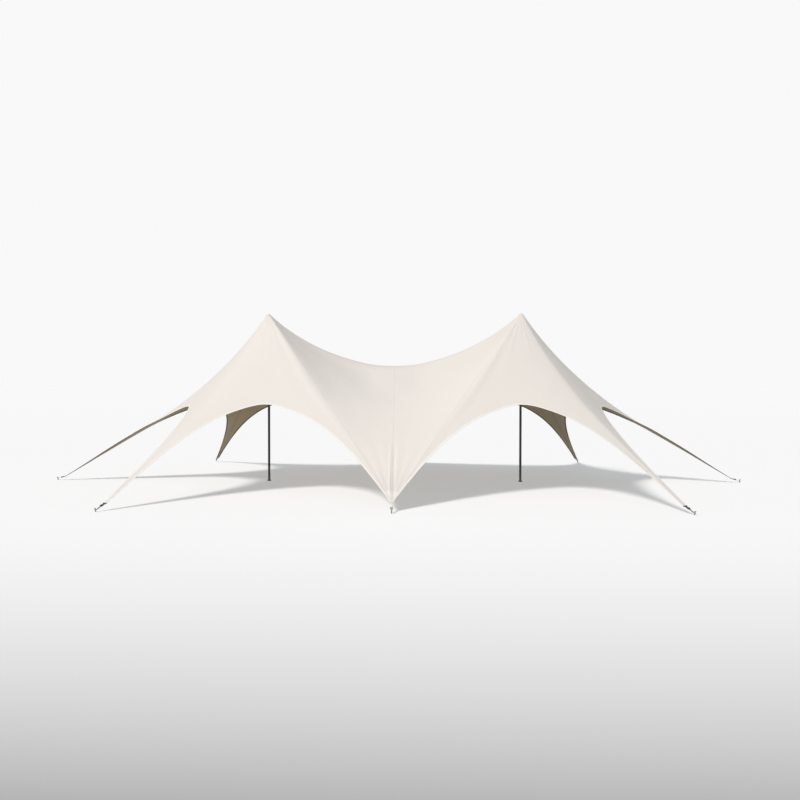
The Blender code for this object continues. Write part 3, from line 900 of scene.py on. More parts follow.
class Panel:
    """One sewn panel of the canopy, with its border lines."""

    def __init__(self, kind, side, depth):
        self.kind = kind
        self.side = side
        self.depth = depth
        self.name = f"{kind}_{depth}_{side}"
        self.flip = np.array([SIDES[side], DEPTHS[depth], 1.0])
        self.stops = {}
        self.lines = {}
        self.bands = []

    def take(self, points, normals, corners, shares):
        """Keeps the panel's points, normals and triangles, and each point's shares across and down."""
        self.used, local = np.unique(corners, return_inverse=True)
        self.corners = local.reshape(-1, 3)
        self.points = points[self.used]
        self.normals = normals[self.used]
        self.shares = np.zeros((len(self.used), 2))
        self.shares[self.corners] = shares

    def folds(self, net):
        """Height of the tension folds, which fan out from the peak and each tip, and one by the valley."""
        cloth = bpy.context.scene.tent_cloth
        across, down = self.shares.T
        lift = np.zeros(len(self.points))
        for order, (arm, beside) in enumerate(PANELS[self.kind]):
            inside = across > 1 if order else across <= 1
            share = np.abs(2 * order - across)
            grid = net.grids[arm, beside]
            widths = np.linalg.norm(net.places[grid[:, 0]] - net.places[grid[:, COLUMNS]], axis=1)
            width = np.interp(down * ROWS, range(ROWS + 1), widths)
            phase = ARM_PHASE[arm] + SIDE_PHASE[self.side]
            waves = np.sin(2 * np.pi * share) * np.sin(np.pi * FOLDS_AT_TIP * share + phase)
            reach = rise(down, *TIP_FOLD_RISE) * (1 - TIP_FOLD_LOSS * rise(down, *TIP_FOLD_FALL))
            amount = cloth.tip_folds * TIP_FOLD_SHARE[arm] * width * reach * waves
            fan = np.sin(np.pi * share) * np.sin(2 * np.pi * FOLDS_AT_PEAK * share + phase)
            amount += cloth.peak_folds * fan * window(down, PEAK_FOLD_RISE, PEAK_FOLD_FALL)
            if beside == "ridge":
                away = (1 - share) * width
                crest = np.exp(-((away - VALLEY_FOLD_AWAY) / VALLEY_FOLD_WIDTH) ** 2) * (away > 0)
                reach = window(down, VALLEY_FOLD_RISE, VALLEY_FOLD_FALL)
                amount += cloth.valley_fold * VALLEY_FOLD_SIDE[self.side] * crest * reach
            lift[inside] = amount[inside]
        return lift

    def find_lines(self):
        """Finds the border lines, which run along belts, hems, the ridge and the valley."""
        self.polygons = [tuple(int(corner) for corner in corners) for corners in self.corners]
        self.tree = BVHTree.FromPolygons([tuple(point) for point in self.points], self.polygons)
        self.beside = {}
        for first, second in rim(self.polygons):
            self.beside.setdefault(first, []).append(second)
            self.beside.setdefault(second, []).append(first)
        for sector, stops in self.stops.items():
            local = np.searchsorted(self.used, stops)
            self.lines[sector[0], "belt"] = self.border(local[:, 0])
            if self.kind == "saddle":
                self.lines["ridge"] = self.border(local[:ARCH_ROW + 1, COLUMNS])
                self.lines["valley"] = self.border(local[ARCH_ROW:, COLUMNS])
            else:
                self.lines[sector[0], "hem"] = self.border(local[ARCH_ROW:, COLUMNS])

    def border(self, stops):
        """Every point of the border from the first stop to the last, in order."""
        line = [int(stops[0])]
        for start, stop in zip(stops, stops[1:]):
            for neighbour in self.beside[start]:
                run = [int(start), neighbour]
                while run[-1] not in stops:
                    run.append([n for n in self.beside[run[-1]] if n != run[-2]][0])
                if run[-1] == stop:
                    line += run[1:]
                    break
            else:
                raise RuntimeError(f"{self.name}: the border has a break")
        return line

    def sew(self):
        """The panel's cloth, off-white outside and khaki inside."""
        uvs = self.shares[self.corners.ravel()]
        self.piece = soft_piece(f"cloth_{self.name}", self.points, self.polygons,
                                ["canopy_outside", "canopy_inside"], uvs, None, NO_EDGE)
        thicken(self.piece, bpy.context.scene.tent_cloth.thickness, 1)
        dress(self.piece, "canopy_cloth", f"canopy_{self.name}")

    def along(self, name):
        """Points of a border line, its normals, and the direction from it into the panel."""
        line = self.lines[name]
        points, normals = self.points[line], self.normals[line]
        inward = np.cross(normals, np.gradient(points, axis=0))
        inward /= np.linalg.norm(inward, axis=1)[:, None]
        middle = len(line) // 2
        probe = Vector(points[middle] + inward[middle] * PROBE)
        if (self.tree.find_nearest(probe)[0] - probe).length > PROBE / 3:
            inward = -inward
        return points, normals, inward

    def above(self, place, lift):
        """The surface point nearest to a place, lifted off the sheet."""
        found, normal, _, _ = self.tree.find_nearest(Vector(place))
        if normal.z < 0:
            normal = -normal
        return np.array(found) + np.array(normal) * lift


def anchor_name(arm, side, depth):
    return {"end": f"end_{side}", "corner": f"{depth}_{side}", "middle": f"{depth}_middle"}[arm]


class TentCloth(bpy.types.PropertyGroup):
    thickness: FloatProperty(
        name="Thickness", description="Thickness of the coated cloth",
        default=0.002, min=0.0005, max=0.01, unit="LENGTH")
    smoothness: IntProperty(
        name="Smoothness", description="How often the sheet between the net's points is halved",
        default=3, min=1, max=4)
    hem_width: FloatProperty(
        name="Hem", description="Width of the hem round each opening", default=0.05, **BAND)
    tape_width: FloatProperty(
        name="Seam tape", description="Width of the tape over each seam", default=0.04, **BAND)
    belt_width: FloatProperty(
        name="Belt", description="Width of the belts under the arms", default=0.045, **BAND)
    tip_folds: FloatProperty(
        name="Tip folds", description="Height of the folds at each tip, as a share of the arm's half width",
        default=0.03, min=0.0, max=0.1)
    peak_folds: FloatProperty(
        name="Peak folds", description="Height of the folds that fan out from the peaks",
        default=0.0025, min=0.0, max=0.03, unit="LENGTH")
    valley_fold: FloatProperty(
        name="Valley fold", description="Height of the upright fold above each middle arm",
        default=0.014, min=0.0, max=0.05, unit="LENGTH")
    outside_colour: FloatVectorProperty(
        name="Outside", description="Off-white outer side of the canopy",
        default=(0.625, 0.587, 0.549), **COLOUR)
    inside_colour: FloatVectorProperty(
        name="Inside", description="Khaki inner side of the canopy",
        default=(0.255, 0.195, 0.11), **COLOUR)
    hem_colour: FloatVectorProperty(
        name="Hems", description="Doubled cloth of hems, tapes and patches",
        default=(0.70, 0.665, 0.625), **COLOUR)
    # The binding's near-black colour is partly painted shade, for the shaded undersides of the arms
    binding_and_shade_colour: FloatVectorProperty(
        name="Binding", description="Dark band sewn under the hems",
        default=(0.065, 0.052, 0.034), **COLOUR)
    # The belts' dark colour is partly painted shade, for the shaded undersides of the arms
    belt_and_shade_colour: FloatVectorProperty(
        name="Belts", description="Webbing of the belts under the canopy",
        default=(0.16, 0.13, 0.085), **COLOUR)


class TentFittings(bpy.types.PropertyGroup):
    mast_colour: FloatVectorProperty(
        name="Masts", description="Powder coat of the masts",
        default=(0.022, 0.022, 0.024), **COLOUR)
    dark_colour: FloatVectorProperty(
        name="Dark fittings", description="Coat of clamps, tighteners and mast ends",
        default=(0.025, 0.025, 0.027), **COLOUR)
    webbing_colour: FloatVectorProperty(
        name="Webbing", description="Pale straps in the middle",
        default=(0.70, 0.68, 0.64), **COLOUR)
    strap_colour: FloatVectorProperty(
        name="Dark webbing", description="Straps at the ends and corners",
        default=(0.11, 0.11, 0.108), **COLOUR)
    zinc_colour: FloatVectorProperty(
        name="Stakes", description="Zinc-plated steel",
        default=(0.32, 0.33, 0.34), **COLOUR)


class TentStage(bpy.types.PropertyGroup):
    key_strength: FloatProperty(
        name="Key light", description="Strength of the slanting key light",
        default=2.33, min=0.0, max=20.0)
    fill_strength: FloatProperty(
        name="Fill light", description="Strength of the shadowless fill from above",
        default=1.64, min=0.0, max=20.0)
    sky_strength: FloatProperty(
        name="Sky light", description="Strength of the white light from all round",
        default=0.15, min=0.0, max=5.0)


class CLOTH_OT_tent_canopy(bpy.types.Operator):
    """Lay the twelve sewn panels of the canopy through the net"""
    bl_idname = "cloth.tent_canopy"
    bl_label = "Canopy Cloth"

    def execute(self, context):
        canopy = Canopy(Net(), context.scene.tent_cloth.smoothness)
        for panel in canopy.panels:
            SHEETS[panel.kind, panel.depth, panel.side] = panel
            panel.sew()
            panel.bands.append(self.add_patch(panel, "peak", PEAK_PATCH, "seam_tape"))
            panel.bands.append(self.add_patch(panel, "tip", TIP_PATCH, "hem_outside"))
        return {"FINISHED"}

    def add_patch(self, panel, place, span, finish_name):
        """Doubled cloth over the part of the panel between two shares of the way down."""
        half = bpy.context.scene.tent_cloth.thickness / 2
        kept = [p for p in panel.polygons if span[0] < panel.shares[list(p), 1].mean() < span[1]]
        used = sorted({corner for polygon in kept for corner in polygon})
        number = {old: new for new, old in enumerate(used)}
        points = panel.points[used] + panel.normals[used] * (half + PATCH_THICKNESS / 2)
        faces = [[number[corner] for corner in polygon] for polygon in kept]
        uvs = [tuple(panel.shares[corner] * PATCH_SPAN) for polygon in kept for corner in polygon]
        patch = soft_piece(f"patch_{place}_{panel.name}", points, faces, [finish_name], uvs, None, NO_EDGE)
        thicken(patch, PATCH_THICKNESS, 0)
        return dress(patch, "canopy_cloth")


class CLOTH_OT_tent_hems(bpy.types.Operator):
    """Fold a hem round the edge of each opening"""
    bl_idname = "cloth.tent_hems"
    bl_label = "Hems"

    def execute(self, context):
        outer, inner = self.section(context.scene.tent_cloth)
        finishes = [0] * len(outer) + [1] * len(inner)
        for panel in SHEETS.values():
            for arm in NEIGHBOURS[panel.kind]:
                if (arm, "hem") not in panel.lines:
                    continue
                rings = [self.ring(panel, outer + inner, *stop) for stop in zip(*panel.along((arm, "hem")))]
                hem = sweep(f"hem_{arm}_{panel.name}", rings, ["hem_outside", "hem_inside"], finishes)
                panel.bands.append(dress(hem, "canopy_cloth"))
        return {"FINISHED"}

    def section(self, cloth):
        """Outline of a hem, as ways in from the edge and heights: its outer part and its bound one."""
        width = cloth.hem_width
        out = cloth.thickness / 2 + HEM_LAYER
        layer = [(width, out - HEM_LAYER * HEM_ROUNDING), (width - HEM_STEP, out), (width / 2, out),
                 (HEM_ROOT, out)]
        nose = [(-HEM_NOSE[0], out * HEM_ROUNDING), (-HEM_NOSE[1], 0.0), (-HEM_NOSE[0], -out * HEM_ROUNDING)]
        return layer + nose[:1], nose[1:] + [(away, -lift) for away, lift in reversed(layer)]

    def ring(self, panel, section, point, normal, inward):
        """The section at one point of the edge. Its layers keep to the cloth, and its nose stands out."""
        ring = []
        for away, lift in section:
            if away > 0:
                ring.append(panel.above(point + inward * away, lift))
            else:
                ring.append(point + inward * away + normal * lift)
        return ring


class CLOTH_OT_tent_seams(bpy.types.Operator):
    """Tape each seam outside and lay a belt under it"""
    bl_idname = "cloth.tent_seams"
    bl_label = "Seams and Belts"

    def execute(self, context):
        for side in SIDES:
            for depth in DEPTHS:
                self.join(("arch", depth, side), ("end", depth, side), ("corner", "belt"), f"{depth}_{side}")
                self.join(("saddle", depth, side), ("arch", depth, side), ("middle", "belt"),
                          f"middle_{depth}_{side}")
            self.join(("end", "front", side), ("end", "back", side), ("end", "belt"), f"end_{side}")
            self.join(("saddle", "front", side), ("saddle", "back", side), "ridge", f"ridge_{side}")
        for depth in DEPTHS:
            self.join(("saddle", depth, "left"), ("saddle", depth, "right"), "valley", f"valley_{depth}")
        return {"FINISHED"}

    def join(self, first, second, line, name):
        """Makes the tape and the belt along the line where two panels meet."""
        cloth = bpy.context.scene.tent_cloth
        half = cloth.thickness / 2
        panels = SHEETS[first], SHEETS[second]
        tape = self.section(cloth.tape_width / 2, half - SEAM_SINK, half + TAPE_THICKNESS)
        belt = self.section(cloth.belt_width / 2, -half + SEAM_SINK, -half - BELT_THICKNESS)
        for kind, section, finish_name, slot in (("tape", tape, "seam_tape", "canopy_cloth"),
                                                 ("belt", belt, "belt", "webbing")):
            rings = self.rings(panels, line, section)
            made = sweep(f"{kind}_{name}", rings, [finish_name], None, BAND_ANGLE)
            panels[0].bands.append(dress(made, slot))

    def section(self, reach, near, far):
        """Outline of a band, across from one side to the other far from the cloth and back close to it."""
        outer = [(share * reach, far if abs(share) < 1 else (near + far) / 2) for share in BAND_STOPS]
        inner = [(share * reach, near) for share in reversed(BAND_STOPS)]
        return outer + inner

    def rings(self, panels, line, section):
        """The section at each point of the seam. Each half of it keeps to its own panel."""
        points, first_normals, first_inward = panels[0].along(line)
        _, second_normals, second_inward = panels[1].along(line)
        rings = []
        for place, point in enumerate(points):
            normal = unit(first_normals[place] + second_normals[place])
            ring = []
            for away, lift in section:
                if abs(away) < TINY:
                    ring.append(point + normal * lift)
                    continue
                panel, inward = (panels[0], first_inward) if away < 0 else (panels[1], second_inward)
                ring.append(panel.above(point + inward[place] * abs(away), lift))
            rings.append(ring)
        return rings


class CLOTH_OT_tent_sheets(bpy.types.Operator):
    """Find the mast head and clamps that hold each panel, and add each middle sleeve to its saddle's bands"""
    bl_idname = "cloth.tent_sheets"
    bl_label = "Cloth Facts"

    def execute(self, context):
        for (kind, depth, side), panel in SHEETS.items():
            held_by = [f"mast_head_{side}"]
            held_by += [f"clamp_{anchor_name(arm, side, depth)}" for arm in NEIGHBOURS[kind]]
            if kind == "saddle" and side == "left":
                panel.bands.append(bpy.data.objects[f"pocket_{depth}_middle"])
        return {"FINISHED"}


def begin(name, adder, **settings):
    """A new primitive at its size and place, the only thing selected."""
    deselect_all()
    adder(**settings)
    piece = bpy.context.active_object
    piece.name = piece.data.name = name
    bpy.ops.object.transform_apply(location=True, rotation=True, scale=True)
    return piece


def block(name, size, centre):
    return begin(name, bpy.ops.mesh.primitive_cube_add, size=1, scale=size, location=centre)


def rod(name, radius, length, centre, axis="Z", sides=24):
    turns = {"X": (0, math.pi / 2, 0), "Y": (math.pi / 2, 0, 0), "Z": (0, 0, 0)}
    return begin(name, bpy.ops.mesh.primitive_cylinder_add, vertices=sides, radius=radius, depth=length,
                 location=centre, rotation=turns[axis])


def loop(name, radius, wire, centre, turn=(0, 0, 0)):
    return begin(name, bpy.ops.mesh.primitive_torus_add, major_radius=radius, minor_radius=wire,
                 major_segments=32, minor_segments=10, location=centre, rotation=turn)


def shape(piece, kind, test, operator, **settings):
    """Runs an edit mode operator on the faces or edges whose middle and direction pass the test."""
    activate(piece)
    bpy.ops.object.mode_set(mode="EDIT")
    bpy.ops.mesh.select_mode(type=kind)
    bpy.ops.mesh.select_all(action="DESELECT")
    bpy.ops.object.mode_set(mode="OBJECT")
    mesh = piece.data
    if kind == "FACE":
        for face in mesh.polygons:
            face.select = test(face.center, face.normal)
    else:
        for edge in mesh.edges:
            first, second = (mesh.vertices[corner].co for corner in edge.vertices)
            edge.select = test((first + second) / 2, (second - first).normalized())
    bpy.ops.object.mode_set(mode="EDIT")
    operator(**settings)
    bpy.ops.object.mode_set(mode="OBJECT")


def round_edges(piece, width, segments=2, angle=HARD_ANGLE):
    bevel = piece.modifiers.new("Rounded", "BEVEL")
    bevel.width = width
    bevel.segments = segments
    bevel.limit_method = "ANGLE"
    bevel.angle_limit = math.radians(angle)
    apply_modifiers(piece)
    return piece


def unite(name, pieces, finishes):
    """Joins pieces into one. Each has the finish that finishes names in the same order."""
    for piece, finish_name in zip(pieces, finishes):
        piece.data.materials.clear()
        piece.data.materials.append(finish(finish_name))
    deselect_all()
    for piece in pieces:
        piece.select_set(True)
    bpy.context.view_layer.objects.active = pieces[0]
    if len(pieces) > 1:
        bpy.ops.object.join()
    joined = bpy.context.active_object
    joined.name = joined.data.name = name
    bpy.ops.object.shade_smooth_by_angle(angle=math.radians(HARD_ANGLE))
    return joined


def placed(piece, name, matrix):
    """A copy of the piece with its own mesh, moved by the matrix."""
    copy = piece.copy()
    copy.data = piece.data.copy()
    copy.name = copy.data.name = name
    copy.data.transform(matrix)
    bpy.context.scene.collection.objects.link(copy)
    return copy


def frame_at(place, forward, up):
    """Matrix that turns +X forward and +Z up and moves the origin to the place."""
    turn = Matrix((forward, up.cross(forward), up))
    return Matrix.Translation(place) @ turn.transposed().to_4x4()


def taper(body, stop, narrowing, corner, sink):
    """Narrows a block's front end, which lies at stop, rounds its corners and sinks the broad faces."""
    shape(body, "FACE", lambda centre, normal: normal.x > ALONG, bpy.ops.transform.resize,
          value=(1, *narrowing), center_override=(stop, 0, 0))
    shape(body, "EDGE", lambda middle, way: abs(way.z) > ALONG and middle.x > stop / 2, bpy.ops.mesh.bevel,
          offset=corner, segments=4)
    shape(body, "FACE", lambda centre, normal: abs(normal.z) > ALONG, bpy.ops.mesh.inset,
          thickness=SUNK_MARGIN, depth=-sink)


def clamp():
    """The bolted clamp at a tip of the cloth and its wire ring, along +X from the tip."""
    length, thick = PLATE
    half = TIP_WIDTH / 2 + PLATE_FLARE
    body = block("leaf", size=(length, 2 * half, thick), centre=(length / 2, 0, 0))
    taper(body, length, narrowing=(PLATE_NOSE / half, 1), corner=0.008, sink=0.0016)
    parts = [round_edges(body, 0.0012)]
    for across in PLATE_BOLTS:
        place = (PLATE_BOLTS_AT, across, 0)
        washer = rod("washer", radius=0.0075, length=thick + 0.0012, centre=place)
        parts.append(round_edges(washer, 0.0004, 1))
        head = rod("bolt", radius=0.0055, length=thick + 0.009, centre=place, sides=6)
        parts.append(round_edges(head, 0.0006, 1))
    ring_at = length + 0.006
    ring = loop("ring", radius=0.022, wire=0.003, centre=(ring_at, 0, 0))
    shape(ring, "FACE", lambda centre, normal: centre.x > ring_at, bpy.ops.transform.resize,
          value=(0.55, 1, 1), center_override=(ring_at, 0, 0))
    return unite("clamp", [*parts, ring], ["dark_steel", *["zinc"] * 2 * len(PLATE_BOLTS), "dark_steel"])


def pocket():
    """The doubled sleeve of cloth round the clamp of a middle arm, along +X from just above the tip."""
    length, thick = PLATE
    half = TIP_WIDTH / 2 + PLATE_FLARE + POCKET_SIDE
    start = -POCKET_LAP
    stop = length + POCKET_OVER
    sleeve = block("sleeve", size=(stop - start, 2 * half, thick + 2 * POCKET_WALL),
                   centre=((start + stop) / 2, 0, 0))
    taper(sleeve, stop, narrowing=((PLATE_NOSE + POCKET_SIDE) / half, 0.88), corner=0.007, sink=0.0006)
    return unite("pocket", [round_edges(sleeve, 0.0025, 3, 30.0)], ["pocket_cloth"])


def ratchet():
    """The ratchet tightener along +X from its start: open cheeks, a spool between discs, a folded handle."""
    long, wide = RATCHET
    axle = (SPOOL_AT, 0, SPOOL_HEIGHT)
    parts = []
    for side in (-1, 1):
        cheek = block("cheek", size=(long, CHEEK, 0.026),
                      centre=(long / 2, side * (wide / 2 - CHEEK / 2), 0.0045))
        shape(cheek, "EDGE", lambda middle, way: abs(way.y) > ALONG, bpy.ops.mesh.bevel,
              offset=0.011, segments=5)
        disc = rod("disc", radius=0.01386, length=0.0022, axis="Y", sides=32,
                   centre=(SPOOL_AT, side * (wide / 2 - 2.2 * CHEEK), SPOOL_HEIGHT))
        arm = block("arm", size=(0.056, CHEEK, 0.013),
                    centre=(SPOOL_AT + 0.024, side * (wide / 2 - 3.6 * CHEEK), 0.0165))
        shape(arm, "EDGE", lambda middle, way: abs(way.y) > ALONG, bpy.ops.mesh.bevel,
              offset=0.006, segments=4)
        parts += [cheek, disc, arm]
    spool = rod("spool", radius=0.0065, length=wide + 0.008, centre=axle, axis="Y")
    grip = block("grip", size=(0.022, wide - 6 * CHEEK, 0.009), centre=(SPOOL_AT + 0.046, 0, 0.0185))
    floor = block("floor", size=(0.030, wide - 2 * CHEEK, 0.0026), centre=(long - 0.019, 0, -0.0055))
    bolt = rod("bolt", radius=0.0045, length=wide + 0.007, centre=(long - 0.012, 0, 0.0035),
               axis="Y", sides=6)
    parts += [round_edges(spool, 0.001), round_edges(grip, 0.0035, 3), floor, round_edges(bolt, 0.0006, 1)]
    return unite("ratchet", parts, ["dark_steel", "zinc", "dark_steel"] * 2
                 + ["zinc", "dark_steel", "dark_steel", "zinc"])


def band(name, stops, places, finish_name):
    """A flat strap along +X through its stops, which are measured from the places that they name."""
    rings = []
    for place, onward, width, thickness, height in stops:
        along = places[place] + onward
        half, thick = STRAP[0] / 2 * width, STRAP[1] / 2 * thickness
        soft = thick * STRAP_ROUNDING
        ring = [(half, 0), (half - soft, thick), (0, thick), (soft - half, thick),
                (-half, 0), (soft - half, -thick), (0, -thick), (half - soft, -thick)]
        rings.append([(along, y, z + height) for y, z in ring])
    return sweep(name, rings, [finish_name])


def strap(start, reach, finish_name):
    """Webbing from the clamp's ring over the spool, and from the tightener down to the stake's ring."""
    spool_at = start + SPOOL_AT
    places = {"clamp": PLATE[0] + 0.010, "tightener": start, "spool": spool_at,
              "floor": start + RATCHET[0] - 0.016, "stake": reach}
    upper = band("upper", UPPER_STOPS, places, finish_name)
    wound = rod("wound", radius=0.0118, length=STRAP[0], centre=(spool_at, 0, SPOOL_HEIGHT),
                axis="Y", sides=28)
    round_edges(wound, 0.0016)
    lower = band("lower", LOWER_STOPS, places, finish_name)
    return unite("strap", [upper, wound, lower], [finish_name] * 3)


class OBJECT_OT_tent_anchors(bpy.types.Operator):
    """Fit a clamp, a tightener, its straps and a ring at each of the eight stakes"""
    bl_idname = "object.tent_anchors"
    bl_label = "Anchors"

    def execute(self, context):
        plate, sleeve, tightener = clamp(), pocket(), ratchet()
        straps = {}
        starts = {}
        for arm, held in ARMS.items():
            reach = np.linalg.norm(held["hook"] - held["tip"])
            starts[arm] = PLATE[0] + (reach - PLATE[0] - RATCHET[0]) * RATCHET_PLACE[arm]
            straps[arm] = strap(starts[arm], reach, "pale_webbing" if arm == "middle" else "dark_webbing")
        ring = loop("ring", radius=STAKE_RADIUS + 0.0045, wire=0.0035, centre=(0, 0, HOOK_HEIGHT))
        ring.data.materials.append(finish("zinc"))
        bpy.ops.object.shade_smooth()
        for arm, side, depth in ANCHORS:
            name = anchor_name(arm, side, depth)
            at_tip, at_ground = self.places(arm, side, depth)
            at_start = at_tip @ Matrix.Translation((starts[arm], 0, 0))
            dress(placed(plate, f"clamp_{name}", at_tip), "dark_fitting", f"corner_plate_{name}")
            dress(placed(straps[arm], f"webbing_{name}", at_tip), "webbing", f"strap_{name}")
            dress(placed(tightener, f"ratchet_{name}", at_start), "dark_fitting")
            dress(placed(ring, f"stake_ring_{name}", at_ground), "stake_steel")
            if arm == "middle":
                dress(placed(sleeve, f"pocket_{name}", at_tip), "canopy_cloth")
        for piece in (plate, sleeve, tightener, ring, *straps.values()):
            bpy.data.objects.remove(piece, do_unlink=True)
        return {"FINISHED"}

    def places(self, arm, side, depth):
        """Where an anchor's pieces go: along the strap from the cloth's tip, and round the leaning stake."""
        flip = np.array([SIDES[side], DEPTHS[depth], 1.0])
        held = {key: Vector(value * flip) for key, value in ARMS[arm].items()}
        lean = Matrix.Identity(4)
        lean[0][2] = -math.tan(STAKE_LEAN)
        at_tip = frame_at(held["tip"], held["down"], held["normal"])
        return at_tip, frame_at(held["ground"], held["inward"], Vector((0, 0, 1))) @ lean


class OBJECT_OT_tent_masts(bpy.types.Operator):
    """Finish the masts, pin their joints, bolt their feet and heads, and cap the peaks"""
    bl_idname = "object.tent_masts"
    bl_label = "Masts and Caps"

    def execute(self, context):
        for side, flip in SIDES.items():
            base = Matrix.Translation((-MAST_X * flip, 0.0, 0.0))
            for node, name in (("mast_lower", "mast_paint"), ("mast_upper", "mast_paint"),
                               ("mast_foot", "dark_steel"), ("mast_head", "dark_steel")):
                self.coat(f"{node}_{side}", name)
            self.add_pins(side, base)
            self.add_cap(side, base)
        for name in frame["nodes"]:
            if name.startswith("stake_"):
                self.coat(name, "zinc")
        return {"FINISHED"}

    def coat(self, node, name):
        for held in frame["nodes"][node].material_slots:
            held.material = finish(name)

    def add_pins(self, side, base):
        """Two pins with rings through the joint, the beads of its sleeve and foot, and both ends' bolts."""
        pins = []
        for height in (MAST_JOINT + PIN_AWAY, MAST_JOINT - PIN_AWAY):
            bar = rod("bar", radius=0.0045, length=2 * SLEEVE_RADIUS + 0.018, centre=(0, 0, height),
                      axis="Y", sides=16)
            pins.append(round_edges(bar, 0.0012))
            pins.append(loop("ring", radius=0.011, wire=0.0012, turn=(0, math.pi / 2, 0),
                             centre=(0, -SLEEVE_RADIUS - 0.009, height - 0.010)))
        pins.append(loop("bead", radius=SLEEVE_RADIUS - 0.0006, wire=0.0022,
                         centre=(0, 0, MAST_JOINT + 0.148)))
        pins.append(loop("weld", radius=TUBE_RADIUS + 0.0055, wire=0.0026, centre=(0, 0, 0.0355)))
        pins += self.bolts(FOOT_BOLTS, FOOT_RIM + 0.004)
        pins += self.bolts(HEAD_BOLTS, CANOPY_TOP - 0.017)
        joined = unite("pins", pins, ["zinc"] * 4 + ["mast_paint"] * 2 + ["zinc"] * (len(pins) - 6))
        joined.data.transform(base)
        joined.name = joined.data.name = f"mast_pins_{side}"
        dress(joined, "stake_steel")

    def bolts(self, ring, height):
        """Six-sided bolts in a circle round the mast."""
        count, first, circle, radius, length, rounding = ring
        made = []
        for step in range(count):
            turn = first + step * 2 * math.pi / count
            centre = (circle * math.cos(turn), circle * math.sin(turn), height)
            made.append(round_edges(rod("bolt", radius, length, centre, sides=6), rounding, 1))
        return made

    def add_cap(self, side, base):
        """A cone of gores, hollow beneath, closed at its top."""
        top = CAP_LINE[-1][1]
        outside = [*CAP_LINE, (0.0, top + CAP_CROWN)]
        inside = [(0.0, top - CAP_THICKNESS)]
        for radius, height in reversed(CAP_LINE[:-1]):
            inside.append((radius - CAP_THICKNESS, max(height - CAP_THICKNESS * CAP_SLANT, 0.0)))
        line = outside + inside
        points = []
        faces = []
        uvs = []
        for step in range(CAP_STEPS):
            turn = 2 * math.pi * step / CAP_STEPS
            bulge = (1.0 + CAP_BULGE * abs(math.cos(CAP_GORES * turn / 2))) / (1.0 + CAP_BULGE)
            for place, (radius, height) in enumerate(line):
                points.append((radius * bulge * math.cos(turn), radius * bulge * math.sin(turn),
                               CAP_FOOT + height))
                if place == len(outside) - 1:
                    continue
                around = [(step, place), (step + 1, place), (step + 1, place + 1), (step, place + 1)]
                faces.append([s % CAP_STEPS * len(line) + p % len(line) for s, p in around])
                uvs += [(s * CAP_UV[0], p * CAP_UV[1]) for s, p in around]
        cap = soft_piece(f"cap_{side}", points, faces, ["seam_tape"], uvs, None, BAND_ANGLE)
        activate(cap)
        bpy.ops.object.mode_set(mode="EDIT")
        bpy.ops.mesh.select_all(action="SELECT")
        bpy.ops.mesh.remove_doubles(threshold=CAP_MERGE)
        bpy.ops.mesh.normals_make_consistent(inside=False)
        bpy.ops.object.mode_set(mode="OBJECT")
        cap.data.transform(base)
        dress(cap, "cap_cloth", f"peak_cap_{side}")


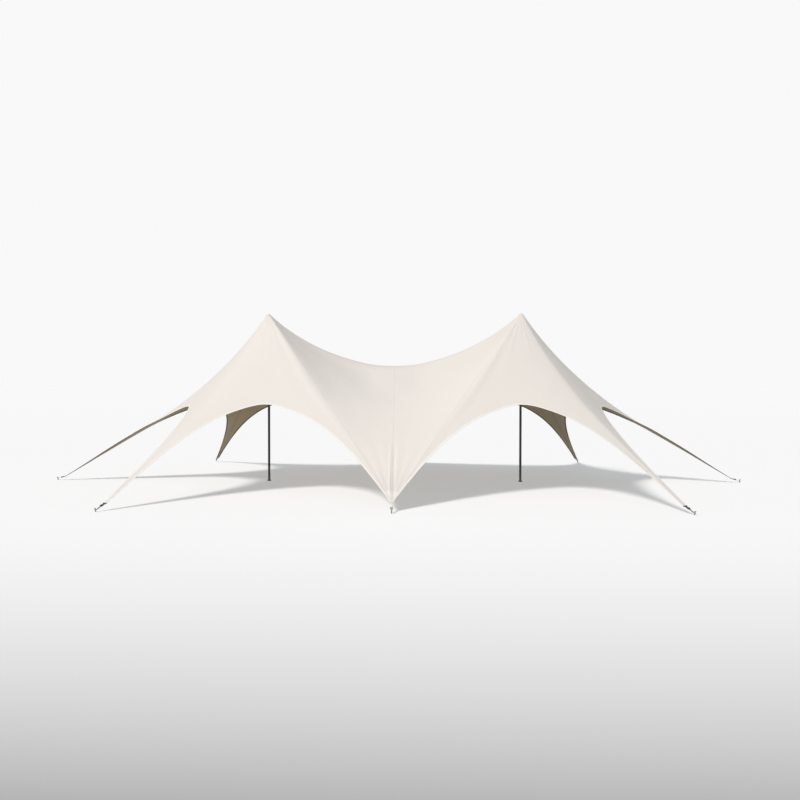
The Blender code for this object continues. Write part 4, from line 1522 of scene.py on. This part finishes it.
class SCENE_OT_tent_stage(bpy.types.Operator):
    """Set the pale floor, the studio light and the camera"""
    bl_idname = "scene.tent_stage"
    bl_label = "Stage"

    def execute(self, context):
        stage = context.scene.tent_stage
        context.scene.view_settings.view_transform = "Standard"
        floor = begin("floor", bpy.ops.mesh.primitive_plane_add, size=FLOOR_SIZE, location=(0, 0, 0))
        floor.data.materials.append(self.floor_finish())
        self.add_sky(stage.sky_strength)
        self.add_sun("key", stage.key_strength, *KEY_SUN)
        self.add_sun("fill", stage.fill_strength, *FILL_SUN)
        camera = bpy.data.objects.new("camera", bpy.data.cameras.new("camera"))
        context.scene.collection.objects.link(camera)
        camera.location = CAMERA_PLACE
        camera.rotation_euler = (math.pi / 2 + CAMERA_PITCH, 0.0, -CAMERA_YAW)
        camera.data.lens = CAMERA_LENS
        camera.data.sensor_width = CAMERA_SENSOR
        camera.data.shift_x = CAMERA_SHIFT
        camera.data.clip_end = CAMERA_REACH
        context.scene.camera = camera
        return {"FINISHED"}

    def floor_finish(self):
        """Matt pale floor, with painted shade in front of the tent and painted light on its far part."""
        made = Finish("floor_pale", FLOOR_COLOUR, roughness=1.0)
        made.set("Specular IOR Level", 0.0)
        # Painted shade, deepest at the camera's end of the stage, fading out to the sides and behind the
        # camera
        away = made.calculate("ADD", made.axis("Y"), -CAMERA_PLACE[1])
        near = made.calculate("DIVIDE", FADE_REACH, made.calculate("MAXIMUM", away, FADE_NEAREST))
        part = made.calculate("MAXIMUM", made.calculate("SUBTRACT", near, FADE_START), 0.0)
        dark = made.calculate("MULTIPLY", made.calculate("POWER", part, FADE_CURVE), FADE_DEPTH)
        dark = made.calculate("MINIMUM", dark, FADE_MOST)
        sides = made.spread(made.calculate("ABSOLUTE", made.axis("X")), *FADE_SIDES)
        behind = made.spread(away, *FADE_BEHIND)
        dark = made.calculate("MULTIPLY", dark, made.calculate("MULTIPLY", sides, behind))
        # Painted light: the far floor is painted a little lighter
        tone = made.blend(made.spread(away, *FAR), made.shade(1.0), made.shade(FAR_LIFT))
        made.paint(made.blend(dark, tone, (0.0, 0.0, 0.0)))
        return made.material

    def add_sky(self, strength):
        """White light from all round. The camera sees a near-white backdrop instead of it."""
        world = bpy.data.worlds.new("studio")
        bpy.context.scene.world = world
        world.use_nodes = True
        nodes, links = world.node_tree.nodes, world.node_tree.links
        nodes["Background"].inputs["Color"].default_value = (1, 1, 1, 1)
        nodes["Background"].inputs["Strength"].default_value = strength
        seen = nodes.new("ShaderNodeBackground")
        seen.inputs["Color"].default_value = (*BACKDROP_COLOUR, 1)
        path = nodes.new("ShaderNodeLightPath")
        choose = nodes.new("ShaderNodeMixShader")
        links.new(path.outputs["Is Camera Ray"], choose.inputs["Fac"])
        links.new(nodes["Background"].outputs["Background"], choose.inputs[1])
        links.new(seen.outputs["Background"], choose.inputs[2])
        links.new(choose.outputs["Shader"], nodes["World Output"].inputs["Surface"])

    def add_sun(self, name, strength, tint, travels, angle, shadow):
        lamp = bpy.data.objects.new(name, bpy.data.lights.new(name, "SUN"))
        bpy.context.scene.collection.objects.link(lamp)
        lamp.data.energy = strength
        lamp.data.color = tint
        lamp.data.angle = math.radians(angle)
        lamp.data.use_shadow = shadow
        lamp.rotation_mode = "QUATERNION"
        lamp.rotation_quaternion = Vector(travels).to_track_quat("-Z", "Y")


class VIEW3D_PT_stretch_tent(bpy.types.Panel):
    """Sizes, colours and pieces of the tent"""
    bl_label = "Stretch Tent"
    bl_space_type = "VIEW_3D"
    bl_region_type = "UI"
    bl_category = "Stretch Tent"

    def draw(self, context):
        for name in GROUPS:
            box = self.layout.box()
            group = getattr(context.scene, name)
            for field in group.bl_rna.properties.keys():
                if field not in ("rna_type", "name"):
                    box.prop(group, field)
        for operator in OPERATORS:
            self.layout.operator(operator.bl_idname)


GROUPS = {"tent_cloth": TentCloth, "tent_fittings": TentFittings, "tent_stage": TentStage}
OPERATORS = [OBJECT_OT_tent_anchors, OBJECT_OT_tent_masts, CLOTH_OT_tent_canopy, CLOTH_OT_tent_hems,
             CLOTH_OT_tent_seams, CLOTH_OT_tent_sheets, SCENE_OT_tent_stage]
CLASSES = [*GROUPS.values(), *OPERATORS, VIEW3D_PT_stretch_tent]


def register():
    for listed in CLASSES:
        bpy.utils.register_class(listed)
    for name, group in GROUPS.items():
        setattr(bpy.types.Scene, name, PointerProperty(type=group))


def unregister():
    for name in GROUPS:
        delattr(bpy.types.Scene, name)
    for listed in reversed(CLASSES):
        bpy.utils.unregister_class(listed)


def main():
    register()
    bpy.ops.object.tent_anchors()
    bpy.ops.object.tent_masts()
    bpy.ops.cloth.tent_canopy()
    bpy.ops.cloth.tent_hems()
    bpy.ops.cloth.tent_seams()
    bpy.ops.cloth.tent_sheets()
    bpy.ops.scene.tent_stage()


if __name__ == "__main__":
    main()
